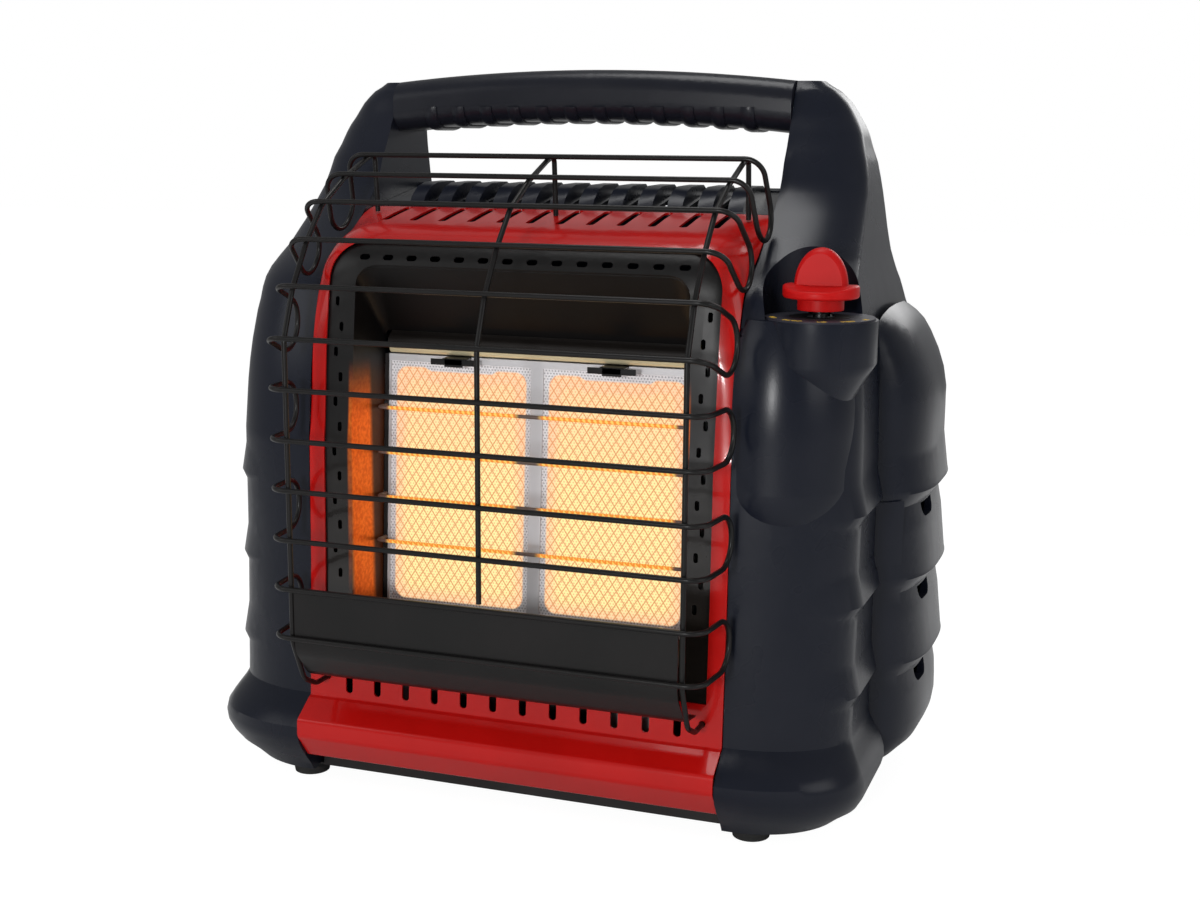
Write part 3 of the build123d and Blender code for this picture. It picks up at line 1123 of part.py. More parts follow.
def battery_box():
    """Open tray for four cells behind the battery door."""
    rear = TRAY_REAR_Y
    x = BATTERY_HALF_WIDTH + 2.0
    box = block((-x, x), (rear - BATTERY_DEPTH, rear), (BATTERY_LOW - 2.0, BATTERY_HIGH + 2.0))
    box -= block((-x + 2, x - 2), (rear - BATTERY_DEPTH + 2, rear + 1), (BATTERY_LOW, BATTERY_HIGH))
    for z in ((BATTERY_LOW + BATTERY_HIGH) / 2,):
        box += block((-x + 2, x - 2), (rear - BATTERY_DEPTH + 2, rear - BATTERY_DEPTH + 8),
                     (z - 1.0, z + 1.0))
    leg = block((-x, x), (rear - BATTERY_DEPTH, rear - BATTERY_DEPTH + 2.0), (PAN_TOP, BATTERY_LOW))
    foot = block((-x, x), (rear - BATTERY_DEPTH, rear - BATTERY_DEPTH + 12.0), (PAN_TOP, PAN_TOP + 2.0))
    return box + leg + foot


def battery_contacts():
    """Four contact plates on the ends of the battery tray."""
    plates = []
    rear = TRAY_REAR_Y
    for side in (-1, 1):
        for z in (BATTERY_LOW + 18.0, BATTERY_HIGH - 18.0):
            face = side * BATTERY_HALF_WIDTH
            plate = block(sorted((face, face - side * 0.8)), (rear - 27.0, rear - 9.0), (z - 9.0, z + 9.0))
            plates.append(plate + cross_rod(sorted((face - side * 0.8, face - side * 3.0)), rear - 18.0, z,
                                            4.0))
    return plates


def battery_door():
    """Flap that folds down on its lower edge."""
    half = BATTERY_HALF_WIDTH
    low = BATTERY_LOW
    plate = block((-half, half), (BATTERY_AXIS_Y - 0.6, REAR_Y + REAR_WALL - 0.4), (low, BATTERY_HIGH))
    plate += cross_rod((-half, half), BATTERY_AXIS_Y, low, BATTERY_KNUCKLE_R)
    plate -= block((-half + 6, half - 6), (BATTERY_AXIS_Y + 1.6, REAR_Y + 5.0), (low + 50.0, low + 53.0))
    plate -= block((-half + 6, half - 6), (BATTERY_AXIS_Y + 1.6, REAR_Y + 5.0), (low + 58.0, low + 61.0))
    return plate - cross_rod((-half - 1, half + 1), BATTERY_AXIS_Y, low, BATTERY_PIN_R + RUNNING)


def battery_pin():
    """Hinge pin of the battery door."""
    return cross_rod((-BATTERY_HALF_WIDTH - 4.8, BATTERY_HALF_WIDTH + 4.8), BATTERY_AXIS_Y, BATTERY_LOW,
                     BATTERY_PIN_R)


def fan_shroud():
    """Ring on the rear cover with four arms that hold the motor."""
    rear = REAR_Y - REAR_WALL - 0.2
    side = FAN_RING_R + 6.0
    shroud = block((-side, side), (rear - 2.2, rear), (FAN_Z - side, FAN_Z + side))
    shroud += depth_rod(0, (rear - 24.0, rear), FAN_Z, FAN_RING_R + 3.0)
    shroud -= depth_rod(0, (rear - 25.0, rear + 1.0), FAN_Z, FAN_RING_R)
    for turn in (45, 135):
        arm = Box(2 * FAN_RING_R + 3.0, 3.0, 6.0)
        shroud += Pos(0, rear - 22.5, FAN_Z) * Rot(0, turn, 0) * arm
    shroud += depth_rod(0, (rear - 24.0, rear - 21.0), FAN_Z, 19.0)
    return shroud - depth_rod(0, (rear - 26.0, rear - 18.0), FAN_Z, 4.0)


def fan_motor():
    """Small motor fixed in front of the shroud's arms."""
    rear = REAR_Y - REAR_WALL - 0.2 - 24.0
    motor = depth_rod(0, (rear - 22.0, rear), FAN_Z, 17.0)
    motor = fillet(motor.edges().group_by(Axis.Y)[0], 2.0)
    motor += depth_rod(0, (rear, rear + 1.5), FAN_Z, 3.8)
    return motor - depth_rod(0, (rear - 14.0, rear + 3.0), FAN_Z, FAN_SHAFT_R + RUNNING)


def fan_rotor():
    """Seven-bladed rotor with its shaft."""
    rear = REAR_Y - REAR_WALL - 0.2
    hub = depth_rod(0, (-7.0, 7.0), 0, 14.0)
    hub = fillet(hub.edges().group_by(Axis.Y)[-1], 2.5)
    for i in range(7):
        blade = Pos(0, 0, (13.0 + FAN_BLADE_R) / 2) * Rot(0, 0, 38) * Box(20.0, 1.6, FAN_BLADE_R - 13.0)
        hub += Rot(0, 360 / 7 * i, 0) * blade
    hub += depth_rod(0, (-24.0, 0.0), 0, FAN_SHAFT_R)
    return Pos(0, rear - 10.0, FAN_Z) * hub


# ---------------------------------------------------------------- output
def main():
    """Build every sub-part and write one STEP file for each."""
    right_door = door()
    right_latch = door_latch()
    right_pins = door_pins()
    right_fitting = swivel_fitting()
    right_regulator = regulator()
    parts = {
        "right_housing": housing(True),
        "left_housing": mirror_x(housing(False)),
        "right_door": right_door,
        "left_door": mirror_x(right_door),
        "right_door_latch": right_latch,
        "left_door_latch": mirror_x(right_latch),
        "door_hinge_pins": right_pins + [mirror_x(pin) for pin in right_pins],
        "carry_handle": carry_handle(),
        "housing_screws": grip_screws() + base_screws(),
        "top_grille": top_grille(),
        "front_panel": front_panel(),
        "firebox": firebox(),
        "burner_tile_right": burner_tile(1),
        "burner_tile_left": burner_tile(-1),
        "tile_frame": tile_frame(),
        "tile_clips": tile_clips(),
        "radiant_rods": radiant_rods(),
        "reflector": reflector(),
        "burner_body": burner_body(),
        "venturi_tube": venturi_tube(),
        "gas_jet": gas_jet(),
        "heat_shield": heat_shield(),
        "pilot_bracket": pilot_bracket(),
        "pilot_burner": pilot_burner(),
        "thermocouple": thermocouple(),
        "igniter_electrode": igniter_electrode(),
        "guard_rings": guard_rings(),
        "guard_uprights": guard_uprights(),
        "guard_plate": guard_plate(),
        "dial_plate": dial_plate(),
        "control_knob": control_knob(),
        "push_collar": push_collar(),
        "knob_spring": knob_spring(),
        "valve_stem": valve_stem(),
        "gas_valve": gas_valve(),
        "piezo_igniter": piezo_igniter(),
        "right_swivel_fitting": right_fitting,
        "left_swivel_fitting": mirror_x(right_fitting),
        "right_regulator": right_regulator,
        "left_regulator": mirror_x(right_regulator),
        "manifold_tee": manifold_tee(),
        "right_fuel_pipe": right_fuel_pipe(),
        "left_fuel_pipe": left_fuel_pipe(),
        "feed_pipe": feed_pipe(),
        "burner_pipe": burner_pipe(),
        "pilot_tube": pilot_tube(),
        "tip_switch": tip_switch(),
        "base_pan": base_pan(),
        "feet": feet(),
        "rear_cover": rear_cover(),
        "switch_body": switch_body(),
        "fan_switch": fan_switch(),
        "adapter_jack": adapter_jack(),
        "battery_box": battery_box(),
        "battery_contacts": battery_contacts(),
        "battery_door": battery_door(),
        "battery_pin": battery_pin(),
        "fan_shroud": fan_shroud(),
        "fan_motor": fan_motor(),
        "fan_rotor": fan_rotor(),
    }
    os.makedirs("parts", exist_ok=True)
    for name, shape in parts.items():
        piece = Compound(children=list(shape)) if isinstance(shape, list) else shape
        export_step(piece, f"parts/{name}.step")
        print(name, flush=True)


if __name__ == "__main__":
    main()
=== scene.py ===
"""Looks of a portable radiant gas heater with a cylinder bay behind each side door.

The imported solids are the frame. Each sub-assembly is a class that gives its solids a
smooth skin and a finish, and adds the marks and small pieces that the solids leave plain.
Lengths are in metres.
"""

import json
import logging
import math
from dataclasses import dataclass
from enum import Enum
from typing import Any, Callable, ClassVar, Mapping, Sequence

import bpy
from mathutils import Matrix, Vector

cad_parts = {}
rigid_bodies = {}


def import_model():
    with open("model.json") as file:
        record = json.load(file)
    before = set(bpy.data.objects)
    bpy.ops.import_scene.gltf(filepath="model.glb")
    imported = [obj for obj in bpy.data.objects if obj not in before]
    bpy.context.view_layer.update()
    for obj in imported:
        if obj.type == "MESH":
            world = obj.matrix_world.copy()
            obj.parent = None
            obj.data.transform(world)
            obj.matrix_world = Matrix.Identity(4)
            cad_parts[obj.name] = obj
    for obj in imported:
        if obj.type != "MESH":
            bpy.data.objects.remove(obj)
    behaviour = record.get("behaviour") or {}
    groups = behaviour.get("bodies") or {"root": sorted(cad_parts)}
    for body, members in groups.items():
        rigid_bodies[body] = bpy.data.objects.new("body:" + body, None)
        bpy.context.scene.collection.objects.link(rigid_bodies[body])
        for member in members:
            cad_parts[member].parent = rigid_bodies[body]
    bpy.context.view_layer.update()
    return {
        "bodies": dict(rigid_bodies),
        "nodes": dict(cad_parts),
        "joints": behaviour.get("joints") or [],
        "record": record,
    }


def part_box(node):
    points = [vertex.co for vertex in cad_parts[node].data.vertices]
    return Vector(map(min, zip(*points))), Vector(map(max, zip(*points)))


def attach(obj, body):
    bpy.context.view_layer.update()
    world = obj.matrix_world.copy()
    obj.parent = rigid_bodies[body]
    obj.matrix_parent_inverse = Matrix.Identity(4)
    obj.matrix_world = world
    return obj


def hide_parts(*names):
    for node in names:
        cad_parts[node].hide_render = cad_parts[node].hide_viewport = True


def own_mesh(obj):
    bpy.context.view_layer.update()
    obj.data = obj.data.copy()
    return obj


LOG = logging.getLogger("heater")
MM = 0.001
WELD = 0.000002  # distance below which a solid's points are one point
TEXT_WELD = 0.00001
PRINT = 0.2 * MM  # thickness of printed words
PRINT_LIFT = 0.04 * MM
FACING = 0.9  # least part of a face's normal along an axis that it looks along
ROUND_SIDES = 96
Triple = tuple[float, float, float]
Colour = Triple
Piece = bpy.types.Object


# ---------------------------------------------------------------- shader helpers
class Signal:
    """Output of a shader node, with maths on single values."""

    def __init__(self, graph: "Graph", socket: bpy.types.NodeSocket) -> None:
        """Wrap a socket.

        Args:
            graph: Node tree the socket belongs to.
            socket: Output socket of a node.
        """
        self.graph = graph
        self.socket = socket

    def maths(self, operation: str, *values: "Signal | float") -> "Signal":
        """Math node on this value.

        Args:
            operation: Operation of the Math node.
            values: Further inputs of the node.

        Returns:
            The node's result.
        """
        sockets = dict(enumerate((self, *values)))
        return self.graph.node("ShaderNodeMath", {"operation": operation}, sockets)

    def __add__(self, other: "Signal | float") -> "Signal":
        """Sum."""
        return self.maths("ADD", other)

    def __sub__(self, other: "Signal | float") -> "Signal":
        """Difference."""
        return self.maths("SUBTRACT", other)

    def __rsub__(self, other: float) -> "Signal":
        """Difference from a number."""
        return self.graph.node("ShaderNodeMath", {"operation": "SUBTRACT"}, {0: other, 1: self})

    def __mul__(self, other: "Signal | float") -> "Signal":
        """Product."""
        return self.maths("MULTIPLY", other)

    __radd__ = __add__
    __rmul__ = __mul__

    def size(self) -> "Signal":
        """Distance from zero."""
        return self.maths("ABSOLUTE")

    def ramp(self, low: float, high: float) -> "Signal":
        """Smooth step.

        Args:
            low: Value at which the result is 0.
            high: Value at which the result is 1.

        Returns:
            A value from 0 to 1.
        """
        settings = {"interpolation_type": "SMOOTHSTEP"}
        sockets = {0: self, 1: low, 2: high, 3: 0.0, 4: 1.0}
        return self.graph.node("ShaderNodeMapRange", settings, sockets)


class Graph:
    """Node tree of a material or of the world."""

    def __init__(self, tree: bpy.types.NodeTree) -> None:
        """Wrap a node tree.

        Args:
            tree: The node tree.
        """
        self.tree = tree

    def node(
        self,
        kind: str,
        settings: Mapping[str, Any] | None = None,
        sockets: Mapping[int | str, Any] | None = None,
        output: int = 0,
    ) -> Signal:
        """Add a node.

        Args:
            kind: Type of the node.
            settings: Properties of the node, set before its sockets.
            sockets: Number, colour or link of each input.
            output: Index of the output that is wanted.

        Returns:
            That output.
        """
        node = self.tree.nodes.new(kind)
        for key, value in (settings or {}).items():
            setattr(node, key, value)
        for key, value in (sockets or {}).items():
            self.feed(node.inputs[key], value)
        return Signal(self, node.outputs[output])

    def feed(self, socket: bpy.types.NodeSocket, value: Any) -> None:
        """Link a signal to a socket, or set the socket.

        Args:
            socket: Input to fill.
            value: Signal, number, or colour of three numbers.
        """
        if isinstance(value, Signal):
            self.tree.links.new(value.socket, socket)
        elif socket.type == "RGBA":
            socket.default_value = (*value, 1.0)
        else:
            socket.default_value = value


class Sheet(Graph):
    """Node tree of one material, built round a Principled shader."""

    def __init__(self, name: str) -> None:
        """Start an empty material.

        Args:
            name: Name of the material.
        """
        self.material = bpy.data.materials.new(name)
        self.material.use_nodes = True
        super().__init__(self.material.node_tree)
        self.tree.nodes.clear()
        self.shader = self.tree.nodes.new("ShaderNodeBsdfPrincipled")
        self.output = self.tree.nodes.new("ShaderNodeOutputMaterial")
        self.tree.links.new(self.shader.outputs[0], self.output.inputs[0])

    def set(self, **values: Any) -> None:
        """Fill inputs of the Principled shader.

        Args:
            values: Inputs by name, with _ for a space.
        """
        for key, value in values.items():
            self.feed(self.shader.inputs[key.replace("_", " ")], value)

    def place(self) -> Signal:
        """Object coordinates."""
        return self.node("ShaderNodeTexCoord", output=3)

    def axes(self) -> tuple[Signal, Signal, Signal]:
        """Object coordinates as three values."""
        split = self.node("ShaderNodeSeparateXYZ", sockets={0: self.place()})
        outputs = split.socket.node.outputs
        return Signal(self, outputs[0]), Signal(self, outputs[1]), Signal(self, outputs[2])

    def noise(
        self, period: float, detail: float = 2.0, stretch: Triple = (1.0, 1.0, 1.0)
    ) -> Signal:
        """Noise with features of a given length.

        Args:
            period: Length of a feature.
            detail: Octaves of finer noise.
            stretch: Scale along each axis.

        Returns:
            A value from 0 to 1.
        """
        where = self.node("ShaderNodeMapping", sockets={"Vector": self.place(), "Scale": stretch})
        sockets = {"Vector": where, "Scale": 1.0 / period, "Detail": detail}
        return self.node("ShaderNodeTexNoise", sockets=sockets)

    def mix(self, share: Signal | float, first: Any, second: Any) -> Signal:
        """Blend of two colours.

        Args:
            share: Share of the second colour.
            first: Colour or signal at 0.
            second: Colour or signal at 1.

        Returns:
            The blended colour.
        """
        return self.node("ShaderNodeMix", {"data_type": "RGBA"}, {0: share, 6: first, 7: second}, 2)

    def relief(self, height: Signal, depth: float) -> None:
        """Bump the surface.

        Args:
            height: Value from 0 to 1.
            depth: Depth of the relief.
        """
        sockets = {"Height": height, "Distance": depth, "Strength": 1.0}
        self.set(Normal=self.node("ShaderNodeBump", sockets=sockets))


# ---------------------------------------------------------------- finishes
def middle(node: str) -> Triple:
    """Middle of a solid's box.

    Args:
        node: Node of the solid.

    Returns:
        The point.
    """
    low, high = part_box(node)
    return (low[0] + high[0]) / 2, (low[1] + high[1]) / 2, (low[2] + high[2]) / 2


@dataclass(frozen=True)
class Finish:
    """Surface of a material."""

    name: str

    def build(self) -> bpy.types.Material:
        """Make the material.

        Returns:
            The material.
        """
        sheet = Sheet(self.name)
        self.dress(sheet)
        return sheet.material

    def dress(self, sheet: Sheet) -> None:
        """Give the material its nodes.

        Args:
            sheet: Node tree to fill.
        """
        raise NotImplementedError


@dataclass(frozen=True)
class Coating(Finish):
    """Opaque surface with softly clouded colour and a fine grain."""

    colour: Colour
    worn: Colour
    roughness: float
    grain: float
    depth: float
    specular: float
    cloud: float
    patches: tuple[float, float]
    spread: float

    def dress(self, sheet: Sheet) -> None:
        """Give the material its nodes."""
        cloudy = sheet.noise(self.cloud, 3.0)
        sheet.set(
            Base_Color=sheet.mix(cloudy.ramp(*self.patches), self.colour, self.worn),
            Roughness=cloudy * self.spread + (self.roughness - self.spread / 2),
            Specular_IOR_Level=self.specular,
        )
        sheet.relief(sheet.noise(self.grain, 1.0), self.depth)


@dataclass(frozen=True)
class MouldedPlastic(Coating):
    """Injection-moulded plastic with an etched grain."""

    roughness: float = 0.28
    grain: float = 0.8 * MM
    depth: float = 0.028 * MM
    specular: float = 0.22
    cloud: float = 60 * MM
    patches: tuple[float, float] = (0.35, 0.75)
    spread: float = 0.14


@dataclass(frozen=True)
class Paint(Coating):
    """Smooth stoved paint or enamel with a faint orange peel."""

    roughness: float = 0.24
    grain: float = 5 * MM
    depth: float = 0.03 * MM
    specular: float = 0.3
    cloud: float = 45 * MM
    patches: tuple[float, float] = (0.3, 0.8)
    spread: float = 0.08
    coat: float = 0.25

    def dress(self, sheet: Sheet) -> None:
        """Give the material its nodes."""
        super().dress(sheet)
        sheet.set(Coat_Weight=self.coat, Coat_Roughness=0.06)


@dataclass(frozen=True)
class EnamelWithPaintedReflection(Finish):
    """Glossy black enamel, browned in blotches, with a painted orange reflection of the glowing
    tiles on the walls beside them.
    """

    colour: Colour = (0.011, 0.009, 0.008)
    # Two oranges of the painted reflection of the glowing tiles on the side walls.
    painted_glow_orange: Colour = (0.95, 0.24, 0.035)
    painted_glow_deep_orange: Colour = (0.60, 0.10, 0.012)
    browned: Colour = (0.013, 0.010, 0.008)
    # Enamel inside the mouth is blacker than on the flange.
    deep_black: Colour = (0.0022, 0.0018, 0.0018)
    flange_x: float = 104 * MM

    def dress(self, sheet: Sheet) -> None:
        """Give the material its nodes."""
        tile_low, tile_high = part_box("burner_tile_right")
        frame_low, frame_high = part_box("tile_frame")
        wall_x, frame_y = frame_high[0] - 1 * MM, frame_low[1]
        mouth_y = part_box("firebox")[0][1] + 2 * MM
        across, depth, height = sheet.axes()
        blotch = sheet.noise(16 * MM, 4.0)
        # Speckle of the painted reflection, fading towards the tile frame.
        speckle = sheet.noise(2.2 * MM, 1.0).ramp(0.25, 0.75) * 0.6
        fading = depth.ramp(mouth_y, frame_y) * -0.4
        speckle = (speckle + fading + 0.4).maths("MAXIMUM", 0.0)
        # Where the painted reflection goes: the side walls beside the tiles, inside the mouth, at
        # the tiles' height.
        beside = across.size().ramp(wall_x - 1.5 * MM, wall_x)
        beside = beside * (1 - across.size().ramp(self.flange_x - 1.5 * MM, self.flange_x))
        inside = depth.ramp(mouth_y, mouth_y + 5 * MM)
        lit = height.ramp(tile_low[2] - 6 * MM, tile_low[2] + 4 * MM)
        lit = lit * (1 - height.ramp(tile_high[2] - 34 * MM, tile_high[2] + 4 * MM))
        browned = sheet.mix(inside, sheet.mix(blotch, self.colour, self.browned), self.deep_black)
        # Painted shade: the painted reflection dims just in front of the tile frame, where the
        # frame's dark gap would show.
        lit = lit * (1 - depth.ramp(frame_y - 11 * MM, frame_y - 6 * MM) * 0.93)
        # The walls are made metallic where the painted reflection lies.
        painted_reflection = beside * inside * lit
        sheet.set(
            Base_Color=sheet.mix(painted_reflection, browned, sheet.mix(speckle, self.painted_glow_orange, self.painted_glow_deep_orange)),
            Metallic=painted_reflection * 0.9,
            Roughness=blotch * 0.08 + inside * 0.22 + 0.14,
            Coat_Weight=(1 - inside) * 0.45,
            Coat_Roughness=0.05,
            Specular_IOR_Level=0.3,
        )
        sheet.relief(sheet.noise(7 * MM, 1.0), 0.05 * MM)


@dataclass(frozen=True)
class Metal(Finish):
    """Bare metal with drawn or brushed lines along one axis."""

    colour: Colour
    dull: Colour
    roughness: float = 0.30
    lines: Triple = (1.0, 1.0, 1.0)
    line_width: float = 1.2 * MM
    relief: float = 0.02 * MM

    def dress(self, sheet: Sheet) -> None:
        """Give the material its nodes."""
        blotch = sheet.noise(14 * MM, 4.0)
        drawn = sheet.noise(self.line_width, 2.0, self.lines)
        sheet.set(
            Base_Color=sheet.mix(blotch.ramp(0.3, 0.75), self.colour, self.dull),
            Metallic=1.0,
            Roughness=drawn * 0.18 + (self.roughness - 0.09),
        )
        sheet.relief(drawn, self.relief)


@dataclass(frozen=True)
class SteelBlackPastEdge(Finish):
    """Bright sheet metal that is black beyond a side of a solid's box: painted shade on the tile
    frame, and on the reflector the part above its bright lower strip.
    """

    colour: Colour
    deep_black: Colour
    node: str
    side: int
    axis: int
    past: float = 0.0
    fade: float = 2.5 * MM

    def dress(self, sheet: Sheet) -> None:
        """Give the material its nodes."""
        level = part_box(self.node)[self.side][self.axis] + self.past
        reach = sheet.axes()[self.axis].size()
        ragged = sheet.noise(5 * MM, 3.0, (0.3, 1.0, 1.0)) * (self.fade * 0.8)
        # Black beyond the level, with a ragged edge; on the tile frame this is painted shade.
        black = (reach + ragged).ramp(level, level + self.fade)
        sheet.set(
            Base_Color=sheet.mix(black, self.colour, self.deep_black),
            Metallic=(1 - black) * 0.3,
            Roughness=black * 0.2 + 0.25,
            Specular_IOR_Level=0.2,
        )
        sheet.relief(sheet.noise(1.2 * MM, 2.0, (0.1, 1.0, 1.0)), 0.02 * MM)


@dataclass(frozen=True)
class Rubber(Finish):
    """Soft matte rubber with a dusty bloom."""

    colour: Colour
    dust: Colour = (0.05, 0.05, 0.05)

    def dress(self, sheet: Sheet) -> None:
        """Give the material its nodes."""
        bloom = sheet.noise(6 * MM, 4.0)
        sheet.set(
            Base_Color=sheet.mix(bloom * 0.5, self.colour, self.dust),
            Roughness=bloom * 0.15 + 0.7,
            Specular_IOR_Level=0.3,
        )
        sheet.relief(sheet.noise(0.8 * MM, 2.0), 0.08 * MM)


@dataclass(frozen=True)
class Glaze(Finish):
    """Glazed or printed surface of one colour with faint clouding."""

    colour: Colour
    cloud: Colour
    roughness: float = 0.35

    def dress(self, sheet: Sheet) -> None:
        """Give the material its nodes."""
        cloudy = sheet.noise(9 * MM, 3.0)
        sheet.set(
            Base_Color=sheet.mix(cloudy, self.colour, self.cloud),
            Roughness=cloudy * 0.1 + (self.roughness - 0.05),
        )
        sheet.relief(sheet.noise(1.5 * MM, 1.0), 0.02 * MM)


@dataclass(frozen=True)
class GlowingTile(Finish):
    """Perforated ceramic tile, white at its cool margins and glowing inside them."""

    node: str
    margin: float = 4.6 * MM
    corner: float = 7 * MM
    hole_pitch: float = 1.9 * MM
    mesh_pitch_x: float = 5.2 * MM
    mesh_pitch_z: float = 7.6 * MM
    ceramic: Colour = (0.84, 0.82, 0.84)
    pale: Colour = (1.0, 0.91, 0.40)
    warm: Colour = (1.0, 0.66, 0.40)
    line: Colour = (0.70, 0.27, 0.10)
    hole: Colour = (0.93, 0.38, 0.20)
    # Painted shade inside the holes of the cool white margin.
    painted_hole_shade: Colour = (0.25, 0.24, 0.26)
    behind: Colour = (0.10, 0.06, 0.03)
    strength: float = 1.0

    def dress(self, sheet: Sheet) -> None:
        """Give the material its nodes."""
        x, _, z = sheet.axes()
        x, z = x - middle(self.node)[0], z - middle(self.node)[2]
        lit = self.lit_area(x, z)
        holes = self.holes(x, z)
        lines = self.mesh_lines(x, z)
        edge = self.lit_area(x, z, 5 * MM, 9 * MM)
        upper = z.ramp(self.half(2) * -0.1, self.half(2))
        cool = (1 - edge) * 0.85 + upper * 0.75
        glow = sheet.mix(cool.maths("MINIMUM", 1.0), self.pale, self.warm)
        glow = sheet.mix(holes * 0.75, glow, self.hole)
        glow = sheet.mix(lines * 0.82, glow, self.line)
        # In the cool margin the holes carry painted shade.
        cold = sheet.mix(holes * 0.6, self.ceramic, self.painted_hole_shade)
        sheet.set(
            Base_Color=sheet.mix(lit, cold, self.behind),
            Roughness=0.85,
            Emission_Color=sheet.mix(lit, (0.0, 0.0, 0.0), glow),
            Emission_Strength=self.strength,
            Specular_IOR_Level=0.2,
        )
        sheet.relief(1 - holes, 0.25 * MM)

    def half(self, axis: int) -> float:
        """Half of the tile's length along an axis.

        Args:
            axis: Index of the axis.

        Returns:
            The length.
        """
        low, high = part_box(self.node)
        return (high[axis] - low[axis]) / 2

    def lit_area(self, x: Signal, z: Signal, inset: float = 0.0, soft: float = 1.4 * MM) -> Signal:
        """Share of glow: a rounded rectangle with a shallow notch under the clip.

        Args:
            x: Distance across from the tile's middle.
            z: Distance up from the tile's middle.
            inset: Further margin.
            soft: Width of the fading edge.

        Returns:
            1 in the glowing area and 0 outside it.
        """
        reach = self.margin + self.corner + inset
        notch = (1 - x.size().ramp(19 * MM, 24 * MM)) * z.ramp(0.0, 2 * MM) * (2.2 * MM)
        across = (x.size() - (self.half(0) - reach)).maths("MAXIMUM", 0.0)
        up = (z.size() + notch - (self.half(2) - reach)).maths("MAXIMUM", 0.0)
        distance = (across * across + up * up).maths("SQRT")
        return 1 - distance.ramp(self.corner - soft / 2, self.corner + soft / 2)

    def holes(self, x: Signal, z: Signal) -> Signal:
        """Triangular lattice of round holes.

        Args:
            x: Distance across from the tile's middle.
            z: Distance up from the tile's middle.

        Returns:
            1 in a hole and 0 between holes.
        """
        turns = 4 * math.pi / (math.sqrt(3) * self.hole_pitch)
        total: Signal | None = None
        for angle in (90.0, 210.0, 330.0):
            east, north = math.cos(math.radians(angle)), math.sin(math.radians(angle))
            wave = (x * (turns * east) + z * (turns * north)).maths("COSINE")
            total = wave if total is None else total + wave
        return total.ramp(0.2, 1.6)

    def mesh_lines(self, x: Signal, z: Signal) -> Signal:
        """Diamond pattern of fine raised lines.

        Args:
            x: Distance across from the tile's middle.
            z: Distance up from the tile's middle.

        Returns:
            1 on a line and 0 inside a diamond.
        """
        total: Signal | None = None
        for lean in (1.0, -1.0):
            place = x * (1 / self.mesh_pitch_x) + z * (lean / self.mesh_pitch_z)
            off = (place.maths("FRACT") - 0.5).size()
            line = 1 - off.ramp(0.03, 0.13)
            total = line if total is None else total.maths("MAXIMUM", line)
        return total


@dataclass(frozen=True)
class HotRod(Finish):
    """Screen rod that glows in front of the tiles and is scaled grey elsewhere."""

    glow_from: float = 5 * MM
    glow_to: float = 91 * MM
    weave: float = 3.4 * MM
    lean: float = 3 * MM
    crossing: Colour = (0.92, 0.27, 0.03)
    strand: Colour = (1.0, 0.66, 0.14)
    scale_grey: Colour = (0.12, 0.10, 0.09)
    behind: Colour = (0.10, 0.03, 0.01)
    dim: Colour = (0.02, 0.004, 0.001)
    strength: float = 0.95

    def dress(self, sheet: Sheet) -> None:
        """Give the material its nodes."""
        x, _, z = sheet.axes()
        off = x.size()
        lit = off.ramp(self.glow_from, self.glow_from + 5 * MM)
        lit = lit * (1 - off.ramp(self.glow_to - 4 * MM, self.glow_to))
        along = x * (1 / self.weave)
        turn = along.maths("FRACT") - 0.5
        other = (along + z * (1 / self.lean)).maths("FRACT") - 0.5
        crossing = 1 - turn.size().ramp(0.10, 0.30)
        crossing = crossing.maths("MAXIMUM", 1 - other.size().ramp(0.10, 0.30))
        glow = sheet.mix(crossing, self.strand, self.crossing)
        sheet.set(
            Base_Color=sheet.mix(lit, self.scale_grey, self.behind),
            Roughness=0.7,
            Metallic=0.3,
            Emission_Color=sheet.mix(lit, self.dim, glow),
            Emission_Strength=self.strength,
        )
        sheet.relief(sheet.noise(1.2 * MM, 2.0), 0.1 * MM)


def grey(value: float) -> Colour:
    """Colour without a hue.

    Args:
        value: Each of its three numbers.

    Returns:
        The colour.
    """
    return value, value, value


